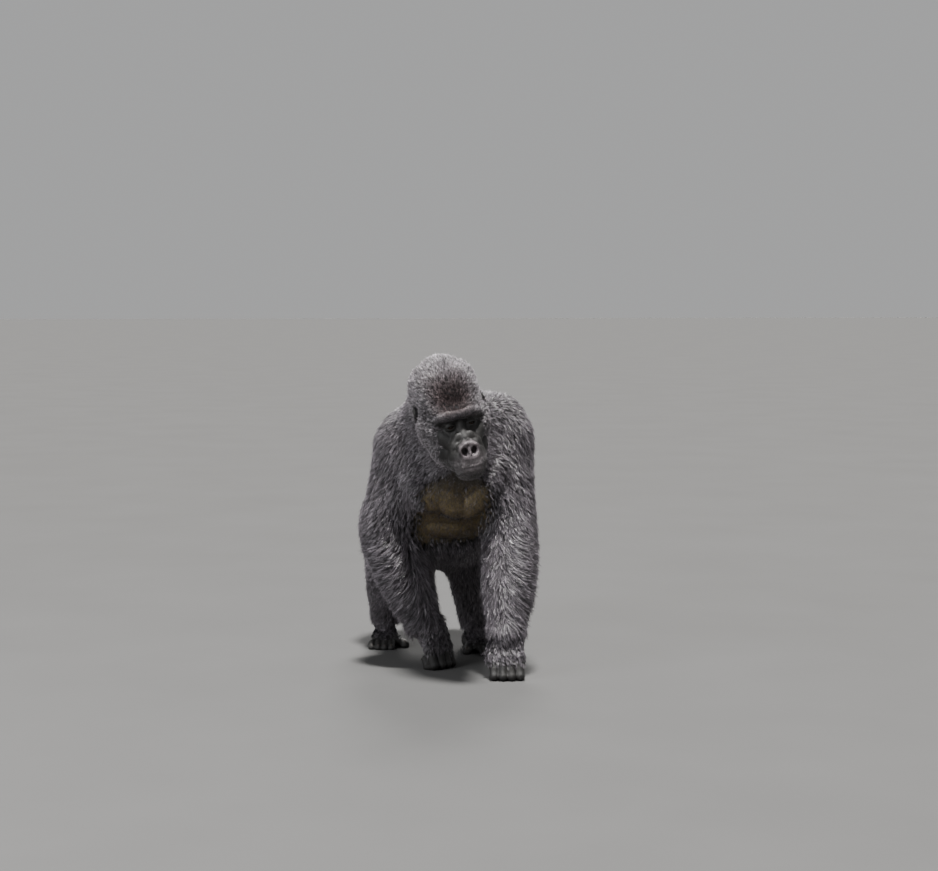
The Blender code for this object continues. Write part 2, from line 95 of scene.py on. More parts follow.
def head_turn():
    return turned(HEAD_YAW, "Z") @ turned(-HEAD_ROLL, "Y") @ turned(HEAD_NOD, "X")


def to_frame():
    """The step from the plan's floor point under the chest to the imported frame, read from the eyes."""
    corners = [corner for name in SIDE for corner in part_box("eye_" + name)]
    seen = sum(corners, Vector()) / len(corners)
    planned = EYE_LINE + head_turn() @ Vector((0.0, EYE_DEPTH, 0.0))
    return Vector((seen.x - planned.x, seen.y - planned.y, 0.0))


MIDDLE = to_frame()
for joints in (SHOULDER, ELBOW, WRIST, KNUCKLES, HIP, KNEE, ANKLE):
    for name in SIDE:
        joints[name] += MIDDLE
HEAD = Matrix.Translation(EYE_LINE + MIDDLE) @ head_turn()
BONES = {
    "upper_arm": (SHOULDER, ELBOW),
    "forearm": (ELBOW, WRIST),
    "thigh": (HIP, KNEE),
    "shank": (KNEE, ANKLE),
}

# By kind of node: how far the skin lies inside the solids, and how long the hair is.
HAIR = {
    "head": (0.011, 0.024),
    "neck": (0.015, 0.032),
    "chest": (0.014, 0.032),
    "belly": (0.015, 0.036),
    "upper_arm": (0.017, 0.040),
    "forearm": (0.024, 0.056),
    "hand": (0.006, 0.020),
    "thigh": (0.017, 0.040),
    "shank": (0.015, 0.036),
    "foot": (0.005, 0.020),
    "ear": (0.006, 0.008),
}
DEPTH = {kind: depth for kind, (depth, _) in HAIR.items()}
LENGTH = {kind: length for kind, (_, length) in HAIR.items()}
# What is added to the bone's direction where the coat lies along a limb: outwards, back and up.
LIMB_LEAN = {"upper_arm": (0.25, 0.35, 0.0), "thigh": (0.15, 0.75, -0.20), "shank": (0.25, 0.25, -0.1)}


class Growth(NamedTuple):
    """How one piece of the coat grows."""

    rate: int  # tufts to a square metre
    width: float  # of a hair at its root
    spread: float  # radius of a tuft at its root
    gather: float  # how far the tips draw together, 1 being all the way
    fall: float = 0.0  # how far the tips hang down, as a share of their length
    hairs: int = 8  # to a tuft


GROWTH = {
    "head": Growth(38000, 0.0010, 0.0044, 0.30),
    "neck": Growth(24000, 0.0013, 0.0060, 0.40),
    "back": Growth(20000, 0.0015, 0.0068, 0.40),
    "flank": Growth(21500, 0.0014, 0.0068, 0.42, fall=0.10),
    "upper_arm": Growth(25000, 0.0012, 0.0060, 0.42, fall=0.05),
    "forearm": Growth(25500, 0.0013, 0.0054, 0.46, fall=0.06),
    "thigh": Growth(22000, 0.0014, 0.0064, 0.42, fall=0.08),
    "shank": Growth(23500, 0.0013, 0.0056, 0.42, fall=0.06),
    "chest_down": Growth(40000, 0.0007, 0.0060, 0.10, hairs=2),
    "lip_bristles": Growth(300000, 0.0006, 0.0022, 0.0, hairs=1),
    "brow_hair": Growth(260000, 0.0006, 0.0020, 0.10, hairs=3),
}
ROOT_DIG = 0.0012  # how far a hair's root reaches into the skin
HAIR_CLEARANCE = 0.0012  # the lowest that hair reaches above the floor

# ---- Shader nodes -------------------------------------------------------------------------------


class Finish:
    """A new material, whose shader nodes are added and linked here."""

    def __init__(self, name):
        self.material = bpy.data.materials.new(name)
        self.material.use_nodes = True
        self.tree = self.material.node_tree

    def feed(self, socket, value):
        """Links a socket to another one, or sets it to a number, a vector or a colour."""
        if isinstance(value, bpy.types.NodeSocket):
            self.tree.links.new(value, socket)
        elif socket.type == "RGBA":
            socket.default_value = (*value, 1.0)
        else:
            socket.default_value = value

    def add(self, kind, inputs, **settings):
        node = self.tree.nodes.new(kind)
        for key, value in settings.items():
            setattr(node, key, value)
        for key, value in inputs.items():
            self.feed(node.inputs[key], value)
        return node

    def cover(self, inputs):
        """Gives the material's own shader its inputs."""
        for key, value in inputs.items():
            self.feed(self.tree.nodes["Principled BSDF"].inputs[key], value)
        return self.material

    def attribute(self, name):
        return self.add("ShaderNodeAttribute", {}, attribute_name=name).outputs["Fac"]

    def place(self, scale=(1.0, 1.0, 1.0)):
        """Object coordinates, stretched by a scale along each axis."""
        place = self.add("ShaderNodeTexCoord", {}).outputs["Object"]
        return self.add("ShaderNodeMapping", {"Vector": place, "Scale": scale}).outputs["Vector"]

    def height(self):
        """Height above the floor in metres."""
        return self.add("ShaderNodeSeparateXYZ", {"Vector": self.place()}).outputs["Z"]

    def noise(self, scale, detail=4.0, place=None):
        inputs = {"Vector": place or self.place(), "Scale": scale, "Detail": detail, "Roughness": 0.55}
        return self.add("ShaderNodeTexNoise", inputs).outputs["Fac"]

    def cells(self, scale, place=None):
        """Distance to the edges of irregular cells."""
        inputs = {"Vector": place or self.place(), "Scale": scale}
        return self.add("ShaderNodeTexVoronoi", inputs, feature="DISTANCE_TO_EDGE").outputs["Distance"]

    def ramp(self, source, *stops):
        """Maps a value to a colour or a grey through (position, value) stops."""
        ramp = self.add("ShaderNodeValToRGB", {"Fac": source})
        elements = ramp.color_ramp.elements
        while len(elements) < len(stops):
            elements.new(0.5)
        for element, (position, value) in zip(elements, stops):
            element.position = position
            colour = value if hasattr(value, "__len__") else (value, value, value)
            element.color = (*colour, 1.0)
        return ramp.outputs["Color"]

    def mix(self, share, a, b, blend="MIX"):
        """Mixes two colours: the mix node's sockets 6 and 7 take them, and its output 2 gives the result."""
        inputs = {0: share, 6: a, 7: b}
        return self.add("ShaderNodeMix", inputs, data_type="RGBA", blend_type=blend).outputs[2]

    def shaded(self, colour, by):
        return self.mix(1.0, colour, by, "MULTIPLY")

    def maths(self, operation, a, b):
        return self.add("ShaderNodeMath", {0: a, 1: b}, operation=operation).outputs[0]

    def bump(self, height, distance, strength):
        inputs = {"Height": height, "Distance": distance, "Strength": strength}
        return self.add("ShaderNodeBump", inputs).outputs["Normal"]


# ---- Camera, floor and light --------------------------------------------------------------------

CAMERA_PLACE = MIDDLE + Vector((-1.2236, -7.4000, 1.3500))
CAMERA_TURN = (86.1, 0.0, -10.0)
LENS = 77.91
SENSOR = 36.0
FLOOR_SIZE = 240.0
SUNS = (  # name, turn in degrees, strength, spread in degrees
    ("high_light", (13.0, 0.0, 0.0), 11.2, 8.0),
    ("back_light", (-42.0, 12.0, 0.0), 4.2, 16.0),
)
SUN_COLOUR = (1.0, 0.985, 0.960)
SIDE_LIGHT_PLACE = Vector((-4.4, -3.0, 2.6))
SIDE_LIGHT_AIM = Vector((0.0, -0.1, 0.65))
SIDE_LIGHT_SIZE, SIDE_LIGHT_POWER, SIDE_LIGHT_COLOUR = 2.4, 210.0, (0.97, 0.98, 1.0)
ROOM_COLOUR, ROOM_STRENGTH = (0.90, 0.905, 0.91, 1.0), 0.46


def set_camera():
    bpy.ops.object.camera_add(location=CAMERA_PLACE, rotation=[math.radians(a) for a in CAMERA_TURN])
    camera = bpy.context.object
    camera.name = "camera"
    camera.data.lens = LENS
    camera.data.sensor_width = SENSOR
    bpy.context.scene.camera = camera


def lay_floor():
    bpy.ops.mesh.primitive_plane_add(size=FLOOR_SIZE)
    floor = bpy.context.object
    floor.name = "floor"
    made = Finish("pale_floor")
    tone = made.ramp(made.noise(1.4), (0.3, (0.0815, 0.0810, 0.0805)), (0.7, (0.0865, 0.0860, 0.0855)))
    floor.data.materials.append(made.cover({
        "Base Color": tone,
        "Normal": made.bump(made.noise(90.0), 0.0006, 0.3),
        "Roughness": 0.9,
        "Specular IOR Level": 0.0,
    }))


def set_lights():
    for name, turn, strength, spread in SUNS:
        bpy.ops.object.light_add(type="SUN", rotation=[math.radians(a) for a in turn])
        sun = bpy.context.object
        sun.name = name
        sun.data.energy = strength
        sun.data.angle = math.radians(spread)
        sun.data.color = SUN_COLOUR
    bpy.ops.object.light_add(type="AREA", location=SIDE_LIGHT_PLACE)
    light = bpy.context.object
    light.name = "side_light"
    light.data.size = SIDE_LIGHT_SIZE
    light.data.energy = SIDE_LIGHT_POWER
    light.data.color = SIDE_LIGHT_COLOUR
    light.rotation_euler = (SIDE_LIGHT_PLACE - SIDE_LIGHT_AIM).to_track_quat("Z", "Y").to_euler()
    world = bpy.data.worlds.new("studio")
    bpy.context.scene.world = world
    world.use_nodes = True
    background = world.node_tree.nodes["Background"]
    background.inputs["Color"].default_value = ROOM_COLOUR
    background.inputs["Strength"].default_value = ROOM_STRENGTH


# ---- Modelling helpers --------------------------------------------------------------------------

def select_only(obj):
    bpy.ops.object.select_all(action="DESELECT")
    obj.select_set(True)
    bpy.context.view_layer.objects.active = obj


def edit_all(obj):
    """Goes into edit mode with the whole mesh selected."""
    select_only(obj)
    bpy.ops.object.mode_set(mode="EDIT")
    bpy.ops.mesh.select_all(action="SELECT")


def apply(obj, kind, **settings):
    """Adds a modifier, sets it and applies it."""
    select_only(obj)
    modifier = obj.modifiers.new(kind.title(), kind)
    for key, value in settings.items():
        setattr(modifier, key, value)
    bpy.ops.object.modifier_apply(modifier=modifier.name)
    return obj


def join(objs, name):
    select_only(objs[0])
    for obj in objs[1:]:
        obj.select_set(True)
    bpy.ops.object.join()
    objs[0].name = name
    return objs[0]


def fuse(obj, voxel, rounds):
    """Makes overlapping closed shapes one closed surface, and relaxes it."""
    apply(obj, "REMESH", mode="VOXEL", voxel_size=voxel, adaptivity=0.0)
    return apply(obj, "SMOOTH", factor=0.5, iterations=rounds)


def swell(obj, amount):
    return apply(obj, "DISPLACE", mid_level=0.0, strength=amount)


def fill_creases(obj, radius, voxel, rounds):
    """Swells the surface until its narrow creases close, then draws it back and relaxes it."""
    swell(fuse(obj, voxel, 4), radius)
    swell(fuse(obj, voxel, 4), -radius)
    return fuse(obj, voxel, rounds)


def draw_in(obj, depth, deepest):
    """Moves each vertex inwards by its own depth, none of which is over the deepest."""
    group = obj.vertex_groups.new(name="coat")
    for index, value in enumerate(depth.tolist()):
        group.add([index], value / deepest, "REPLACE")
    apply(obj, "DISPLACE", mid_level=0.0, strength=-deepest, vertex_group=group.name)
    obj.vertex_groups.clear()
    return obj


class Clay:
    """Balls and tapered runs, added at their size and place in one frame, and joined."""

    def __init__(self, place):
        self.place = place
        self.lumps = []

    def keep(self, matrix):
        obj = bpy.context.object
        obj.data.transform(matrix)
        self.lumps.append(obj)

    def ball(self, centre, radii, turn=(0.0, 0.0, 0.0)):
        """An ellipsoid, turned by degrees about its own x, y and z."""
        if not hasattr(radii, "__len__"):
            radii = (radii,) * 3
        bpy.ops.mesh.primitive_uv_sphere_add(segments=24, ring_count=16, radius=1.0)
        place = self.place @ Matrix.Translation(Vector(centre))
        for angle, axis in zip(turn, "XYZ"):
            place = place @ turned(angle, axis)
        self.keep(place @ Matrix.Diagonal((*radii, 1.0)))

    def run(self, *stations):
        """A tapered tube with round ends through (point, radius) stations."""
        for (a, radius_a), (b, radius_b) in zip(stations, stations[1:]):
            a, b = Vector(a), Vector(b)
            along = b - a
            bpy.ops.mesh.primitive_cone_add(
                vertices=24, radius1=radius_a, radius2=radius_b, depth=along.length
            )
            turn = along.to_track_quat("Z", "Y").to_matrix().to_4x4()
            self.keep(self.place @ Matrix.Translation((a + b) / 2) @ turn)
        for point, radius in stations:
            self.ball(point, radius)

    def joined(self, name):
        return join(self.lumps, name)


def both_ways(*stations):
    """Stations from the middle out to the left, with the same on the right before them."""
    right = [((-x, y, z), radius) for (x, y, z), radius in reversed(stations[1:])]
    return [*right, *stations]


def arc(centre, radii, start, end, steps, radius, hollow, tilt=0.0):
    """Stations along an elliptic arc in the head's x-z plane, in degrees; hollow moves its ends back."""
    stations = []
    lean = math.radians(tilt)
    for step in range(steps + 1):
        share = step / steps
        angle = math.radians(start + (end - start) * share)
        x, z = radii[0] * math.cos(angle), radii[1] * math.sin(angle)
        across = x * math.cos(lean) - z * math.sin(lean)
        up = x * math.sin(lean) + z * math.cos(lean)
        back = hollow * (2.0 * share - 1.0) ** 2
        stations.append((Vector(centre) + Vector((across, back, up)), radius))
    return stations


def floor_frame(point, turn):
    return Matrix.Translation((point.x, point.y, 0.0)) @ turned(turn, "Z")


def read(items, key, width, kind=float):
    """One property of all vertices, edges, loops or faces, as rows of numbers."""
    values = np.empty(len(items) * width, kind)
    items.foreach_get(key, values)
    return values.reshape(-1, width)


def points_of(mesh):
    return read(mesh.vertices, "co", 3)


def set_points(mesh, points):
    mesh.vertices.foreach_set("co", points.ravel())
    mesh.update()


def set_map(mesh, name, values):
    made = mesh.attributes.new(name, "FLOAT", "POINT")
    made.data.foreach_set("value", np.ascontiguousarray(values, np.float32))


def unit(vectors):
    return vectors / np.maximum(np.linalg.norm(vectors, axis=-1, keepdims=True), 1e-9)


def ease(low, high, value):
    """0 below low, 1 above high, and a smooth step between."""
    share = np.clip((value - low) / (high - low), 0.0, 1.0)
    return share * share * (3.0 - 2.0 * share)


def even_out(mesh, values, rounds):
    """Averages values between neighbouring vertices, so that a map has no hard steps."""
    a, b = read(mesh.edges, "vertices", 2, np.int64).T
    count = len(mesh.vertices)
    share = np.bincount(a, minlength=count) + np.bincount(b, minlength=count)
    columns = np.array(values, float).reshape(count, -1)
    for _ in range(rounds):
        for column in columns.T:
            total = np.bincount(a, column[b], count) + np.bincount(b, column[a], count)
            column[:] = 0.5 * column + 0.5 * total / np.maximum(share, 1)
    return columns.reshape(np.shape(values))


def in_head_frame(points):
    """Points in the head's own frame: x to its left, y back, z up, from midway between the eyes."""
    back = np.array(HEAD.inverted())
    return points @ back[:3, :3].T + back[:3, 3]


def reach(points, centre, radii):
    """Distance from a centre in multiples of the radii: 1 on the ellipsoid that they give."""
    return np.linalg.norm((points - np.array(centre)) / np.array(radii), axis=1)


def kind_of(name):
    """The kind of node: its name without its side."""
    return name.rsplit("_", 1)[0] if name.endswith(("left", "right")) else name


def kinds_of(owners):
    return np.array([kind_of(FLESH[owner]) for owner in owners])


def by_kind(table, owners):
    return np.array([table[kind] for kind in kinds_of(owners)])


class Nearest:
    """Says which node of flesh each point is nearest to."""

    def __init__(self):
        points, faces, self.owner = [], [], []
        for number, name in enumerate(FLESH):
            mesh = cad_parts[name].data
            start = len(points)
            points += [vertex.co.copy() for vertex in mesh.vertices]
            for polygon in mesh.polygons:
                faces.append([start + index for index in polygon.vertices])
                self.owner.append(number)
        self.tree = BVHTree.FromPolygons(points, faces)

    def owners(self, points):
        return np.array([self.owner[self.tree.find_nearest(point)[2]] for point in points.tolist()])


NEAREST = Nearest()


# ---- Skin ---------------------------------------------------------------------------------------

def core():
    """The flesh nodes but for the ears as one body, relaxed, and drawn in by the depth of the coat."""
    copies = []
    for name in FLESH:
        if name.startswith("ear"):
            continue
        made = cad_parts[name].copy()
        made.data = made.data.copy()
        made.parent = None
        made.matrix_world = Matrix.Identity(4)
        bpy.context.scene.collection.objects.link(made)
        copies.append(made)
    body = join(copies, "core")
    edit_all(body)
    bpy.ops.mesh.remove_doubles(threshold=0.00001)
    bpy.ops.object.mode_set(mode="OBJECT")
    body.data.materials.clear()
    swell(body, 0.0006)  # closes the gaps between the nodes
    fuse(body, CORE_VOXEL, 26)
    depth = by_kind(DEPTH, NEAREST.owners(points_of(body.data)))
    return draw_in(body, even_out(body.data, depth, 30), max(DEPTH.values()))


def bare_chest(points, normals):
    """1 on the bare skin of the chest, 0 where the coat covers it."""
    x, y, z = (points - np.array(MIDDLE)).T
    across = 1.0 - ease(0.092, 0.165, np.abs(x + 0.026) + 0.10 * ease(0.66, 0.78, z))
    height = ease(0.405, 0.480, z) * (1.0 - ease(0.740, 0.810, z))
    front = ease(-0.45, 0.05, -normals[:, 1]) * (1.0 - ease(-0.14, -0.08, y))
    return across * height * front


def face_edge(local):
    """Rises from 0 on the bare face to 1 where the coat begins, at the brow, cheeks and jaw."""
    x, y, z = local.T
    back = y + 0.55 * (np.abs(x) - 0.052)
    start = 0.040 + 0.038 * ease(-0.050, -0.110, z)
    ragged = 0.006 * np.sin(170.0 * z + 40.0 * y) * np.sin(230.0 * y + 60.0 * x)
    behind = ease(-0.016, 0.018, back - start + ragged)
    above = ease(0.030, 0.044, z - 0.25 * np.maximum(np.abs(x) - 0.050, 0.0))
    return np.maximum(behind, above)


def head_depth(local):
    """Depth of the coat on the head: none on the bare face, full on the crown and the cheeks."""
    x, y, z = local.T
    behind = ease(0.035, 0.095, y + 0.4 * (np.abs(x) - 0.06))
    above = ease(0.050, 0.095, z)
    return DEPTH["head"] * np.maximum(behind, above)


def dome():
    """The skull with its muscles, fused and relaxed, drawn in where the coat covers it."""
    clay = Clay(HEAD)
    clay.ball((0.0, 0.122, 0.074), (0.114, 0.124, 0.124))  # brain case and temple muscles
    clay.ball((0.0, 0.178, 0.118), (0.100, 0.126, 0.104))  # crest
    clay.ball((0.0, 0.205, 0.070), (0.126, 0.120, 0.142))  # back of the head
    clay.ball((0.0, 0.060, 0.062), (0.094, 0.064, 0.062))  # forehead
    clay.ball((0.0, 0.076, -0.035), (0.092, 0.080, 0.092))  # middle of the face
    clay.ball((0.0, 0.012, -0.108), (0.064, 0.072, 0.056))  # muzzle
    clay.ball((0.0, 0.060, -0.115), (0.074, 0.075, 0.066))  # under the jaw
    for side in SIDE.values():
        clay.ball((side * 0.054, 0.182, 0.117), (0.066, 0.112, 0.078))  # shoulders of the crest
        clay.ball((side * 0.072, 0.122, -0.012), (0.060, 0.090, 0.094))  # cheek
        clay.ball((side * 0.058, 0.100, -0.078), (0.052, 0.076, 0.076))  # lower cheek
    made = fill_creases(clay.joined("dome"), 0.014, HEAD_VOXEL, 10)
    return draw_in(made, head_depth(in_head_frame(points_of(made.data))), DEPTH["head"])


def nose(clay):
    clay.run(  # bridge
        ((0.0, 0.012, 0.016), 0.0150),
        ((0.0, 0.002, -0.020), 0.0160),
        ((0.0, -0.014, -0.044), 0.0185),
    )
    clay.ball((0.0, -0.034, -0.080), (0.034, 0.022, 0.032))  # pad
    for side in SIDE.values():
        clay.ball((side * 0.0190, -0.012, -0.0440), (0.0200, 0.0130, 0.0240))  # flank of the bridge
        clay.ball((side * 0.0110, -0.048, -0.0560), (0.0135, 0.0140, 0.0100), (0.0, side * 24.0, 0.0))  # tip
        rim = (side * 0.0172, -0.0535, -0.0800)
        clay.run(*arc(rim, (0.0160, 0.0200), 0, 360, 18, 0.0056, 0.003, side * -24))
        clay.run(  # wing, which sweeps round the nostril and down on to the lip
            ((side * 0.0120, -0.038, -0.0520), 0.0110),
            ((side * 0.0290, -0.036, -0.0640), 0.0105),
            ((side * 0.0345, -0.034, -0.0830), 0.0095),
            ((side * 0.0260, -0.042, -0.1020), 0.0085),
            ((side * 0.0100, -0.049, -0.1080), 0.0070),
        )
        clay.run(  # fold beside the wing
            ((side * 0.026, -0.014, -0.036), 0.0080),
            ((side * 0.043, -0.014, -0.054), 0.0090),
            ((side * 0.053, -0.014, -0.088), 0.0080),
        )


def brow(clay):
    """The bony shelf over the eyes, and behind it a wider one that runs into the forehead."""
    for side in SIDE.values():
        clay.run(
            ((side * 0.080, 0.058, 0.010), 0.0180),
            ((side * 0.066, 0.023, 0.030), 0.0175),
            ((side * 0.040, 0.001, 0.039), 0.0170),
            ((0.0, 0.000, 0.037), 0.0160),
        )
        clay.run(
            ((side * 0.074, 0.058, 0.022), 0.0260),
            ((side * 0.044, 0.028, 0.042), 0.0270),
            ((0.0, 0.026, 0.040), 0.0260),
        )


def cheeks(clay):
    """The cheek bone, the slope from it to the nose, and two folds under the eye."""
    for side in SIDE.values():
        clay.run(
            ((side * 0.078, 0.060, -0.012), 0.0300),
            ((side * 0.058, 0.037, -0.036), 0.0290),
            ((side * 0.036, 0.021, -0.060), 0.0290),
        )
        clay.run(((side * 0.018, 0.013, -0.018), 0.015), ((side * 0.030, -0.003, -0.068), 0.029))
        clay.run(*arc((side * 0.041, 0.012, -0.020), (0.026, 0.012), 200, 340, 5, 0.0042, 0.010))
        clay.run(*arc((side * 0.044, 0.010, -0.034), (0.028, 0.014), 205, 335, 5, 0.0040, 0.012))


def lids(clay):
    """A ball round each eye, the edges of its upper and lower lid, and the fold over it."""
    for side in SIDE.values():
        x = side * EYE_SPREAD
        clay.ball((x, 0.0135, 0.0), (0.0185, 0.0165, 0.0150))
        clay.run(*arc((x, -0.0005, -0.001), (0.0165, 0.0085), 10, 170, 6, 0.0042, 0.0090))
        clay.run(*arc((x, 0.0005, 0.000), (0.0160, 0.0085), 190, 350, 6, 0.0036, 0.0085))
        clay.run(*arc((x, 0.004, 0.006), (0.0225, 0.0120), 20, 160, 6, 0.0040, 0.0120))


def jaw(clay):
    clay.ball((0.0, 0.002, -0.105), (0.066, 0.069, 0.053))  # muzzle
    clay.ball((0.0, -0.026, -0.120), (0.057, 0.039, 0.024))  # upper lip
    clay.ball((0.0, -0.019, -0.150), (0.054, 0.039, 0.021))  # lower lip
    clay.ball((0.0, 0.000, -0.164), (0.049, 0.043, 0.029))  # chin
    clay.run(*both_ways(  # edge of the upper lip
        ((0.0, -0.0595, -0.1320), 0.0075),
        ((0.030, -0.052, -0.1315), 0.0075),
        ((0.054, -0.024, -0.128), 0.0060),
    ))
    clay.run(*both_ways(  # edge of the lower lip
        ((0.0, -0.0555, -0.1460), 0.0080),
        ((0.026, -0.049, -0.1450), 0.0075),
        ((0.048, -0.026, -0.1405), 0.0060),
    ))


def face():
    clay = Clay(HEAD)
    for feature in (nose, brow, cheeks, lids, jaw):
        feature(clay)
    return clay.joined("face")


def ears():
    """Small round ears, each a curled rim about a shallow cup, on a root that reaches the skull."""
    shells = []
    for name, side in SIDE.items():
        root = Matrix.Translation((side * 0.1140, 0.150, 0.038))
        clay = Clay(HEAD @ root @ turned(side * 20.0, "Z"))
        angles = [math.radians(-75.0 + step * 19.0) for step in range(15)]
        clay.run(*[((side * 0.0055, -0.0185 * math.cos(a), 0.0250 * math.sin(a)), 0.0048) for a in angles])
        clay.ball((-side * 0.003, 0.0, 0.0), (0.0066, 0.0205, 0.0270))
        clay.run(  # inner fold
            ((side * 0.004, -0.006, 0.014), 0.0028),
            ((side * 0.005, 0.007, 0.005), 0.0032),
            ((side * 0.005, 0.004, -0.011), 0.0028),
        )
        clay.ball((side * 0.006, -0.0150, -0.005), (0.0050, 0.0050, 0.0080))  # flap before the opening
        clay.run(((-side * 0.018, -0.006, -0.001), 0.0140), ((-side * 0.034, -0.010, -0.004), 0.020))
        shells.append(clay.joined("ear_shell_" + name))
    return join(shells, "ear_shells")


def finger_line(finger):
    """A finger's place across the hand and how far its arch stands out."""
    return (finger - 1.5) * FINGER_PITCH, 0.006 if finger in (1, 2) else 0.0


def shape_finger(clay, finger):
    """A folded finger: down from the hand to its middle joint on the floor, along it, and back up."""
    across, arch = finger_line(finger)
    contact = FINGER_RADIUS - FLOOR_DIG
    root = (across * 0.95, -0.022 - arch, 0.076 + arch)
    clay.run(((across * 0.5, 0.0, 0.150), 0.026), (root, 0.0195))
    clay.ball((root[0], root[1] - 0.002, root[2] + 0.002), 0.0208)
    knuckle = (across * 1.06, -0.046 - arch, contact + 0.010)
    clay.run((root, 0.0185), (knuckle, FINGER_RADIUS))
    clay.ball((knuckle[0], knuckle[1] - 0.001, knuckle[2]), (0.0172, 0.0182, 0.0182))
    far_joint = (across * 1.06, -0.014, contact)
    clay.run((knuckle, FINGER_RADIUS * 0.96), (far_joint, FINGER_RADIUS * 0.98))
    clay.run((far_joint, 0.0160), ((across, 0.000, 0.036), 0.0140))
    for share in (0.34, 0.48, 0.62):  # creases over the middle of the finger
        fold = Vector(root).lerp(Vector(knuckle), share) + Vector((0.0, -0.0150, 0.0055))
        clay.run(
            (fold + Vector((-0.0095, 0.0030, 0.0)), 0.0026),
            (fold, 0.0034),
            (fold + Vector((0.0095, 0.0030, 0.0)), 0.0026),
        )


def hand(name):
    """Knuckle-walking hand: the middle joints of the four fingers carry it, the palm faces back."""
    side = SIDE[name]
    clay = Clay(floor_frame(KNUCKLES[name], HAND_TURN[name]))
    clay.ball((0.0, 0.002, 0.118), (0.058, 0.040, 0.058))  # back of the hand
    clay.ball((0.0, -0.008, 0.062), (0.050, 0.026, 0.040))  # palm behind the folded fingers
    for finger in range(4):
        shape_finger(clay, finger)
    clay.run(  # thumb
        ((-side * 0.040, 0.012, 0.122), 0.022),
        ((-side * 0.062, 0.006, 0.078), 0.0160),
        ((-side * 0.056, -0.004, 0.048), 0.0135),
    )
    palm = clay.place @ Vector((0.0, 0.002, 0.135))
    clay.place = Matrix.Identity(4)
    clay.run((palm, 0.046), (WRIST[name], 0.042), (WRIST[name].lerp(ELBOW[name], 0.3), 0.058))
    return clay.joined("hand_" + name + "_skin")


def toe_line(side, toe):
    """A toe's place across the foot and how far forward it reaches."""
    return side * (0.042 - toe * 0.0235), TOE_TIP + (0.012, 0.004, 0.0, 0.003)[toe]


def foot(name):
    """Flat-standing foot with its big toe spread to the inside."""
    side = SIDE[name]
    clay = Clay(floor_frame(ANKLE[name], FOOT_TURN[name]))
    clay.run(((0.0, 0.0, 0.088), 0.045), ((0.0, -0.045, 0.050), 0.036))  # instep
    clay.ball((0.0, 0.030, SOLE + 0.036), (0.037, 0.041, 0.035))  # heel
    for across in (-0.022, 0.020):
        clay.run(((across * 0.6, 0.020, SOLE + 0.034), 0.033), ((across, -0.105, SOLE + 0.030), 0.029))
    clay.ball((0.0, -0.118, SOLE + 0.028), (0.054, 0.042, 0.026))  # ball of the foot
    for toe in range(4):
        across, tip = toe_line(side, toe)
        clay.run(
            ((across * 0.95, TOE_BASE, SOLE + 0.026), 0.0158),
            ((across * 1.05, TOE_BASE + 0.55 * (tip - TOE_BASE), SOLE + 0.030), 0.0142),
            ((across * 1.08, tip, SOLE + 0.0165), 0.0136),
        )
    clay.run(  # big toe
        ((-side * 0.028, -0.058, SOLE + 0.032), 0.025),
        ((-side * 0.062, -0.112, SOLE + 0.024), 0.0188),
        ((-side * 0.080, -0.148, SOLE + 0.021), 0.0182),
    )
    clay.place = Matrix.Identity(4)
    clay.run((ANKLE[name], 0.046), (ANKLE[name].lerp(KNEE[name], 0.35), 0.058))
    return clay.joined("foot_" + name + "_skin")


def chest():
    """The two breast muscles, which hang together at the cleft, with the fold under them."""
    clay = Clay(Matrix.Translation(MIDDLE))
    for side in SIDE.values():
        clay.ball((side * 0.058 + 0.002, -0.303, 0.664), (0.066, 0.068, 0.116), (8.0, side * 34.0, 0.0))
        clay.ball((side * 0.112 + 0.002, -0.275, 0.724), (0.070, 0.070, 0.080))
    clay.ball((0.002, -0.106, 0.532), (0.150, 0.085, 0.064))  # the belly that shows under the fold
    return clay.joined("chest")


def cutters():
    """What is cut out: nostrils, the openings between the lids, the mouth's line, and two grooves."""
    clay = Clay(HEAD)
    for side in SIDE.values():
        clay.ball((side * 0.0168, -0.064, -0.0800), (0.0138, 0.0180, 0.0178), (6.0, side * 24.0, 0.0))
        clay.ball((side * 0.0160, -0.046, -0.0770), (0.0110, 0.0150, 0.0140))
        clay.ball((side * EYE_SPREAD, -0.0035, 0.0002), (0.0122, 0.0110, 0.0052), (0.0, side * 4.0, 0.0))
    clay.run(  # between the nostrils
        ((0.0, -0.064, -0.048), 0.0030),
        ((0.0, -0.066, -0.086), 0.0030),
        ((0.0, -0.062, -0.108), 0.0024),
    )
    clay.run(*both_ways(  # mouth
        ((0.0, -0.0645, -0.1390), 0.0022),
        ((0.030, -0.056, -0.1380), 0.0022),
        ((0.056, -0.026, -0.1335), 0.0020),
        ((0.064, -0.010, -0.130), 0.0014),
    ))
    clay.place = Matrix.Translation(MIDDLE)
    clay.run(  # cleft between the breast muscles
        ((0.004, -0.372, 0.690), 0.006),
        ((0.006, -0.366, 0.650), 0.008),
        ((0.002, -0.362, 0.575), 0.007),
    )
    return fuse(clay.joined("cutters"), CUTTER_VOXEL, 1)


def carve(skin):
    tool = cutters()
    apply(skin, "BOOLEAN", operation="DIFFERENCE", solver="MANIFOLD", object=tool)
    bpy.data.objects.remove(tool)


def ear_distance(points):
    """Distance to the middle of the nearer ear."""
    boxes = [np.array(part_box("ear_" + name)) for name in SIDE]
    return np.min([np.linalg.norm(points - box.mean(0), axis=1) for box in boxes], axis=0)


def low_down(points):
    return points[:, 2] < HANDS_AND_FEET


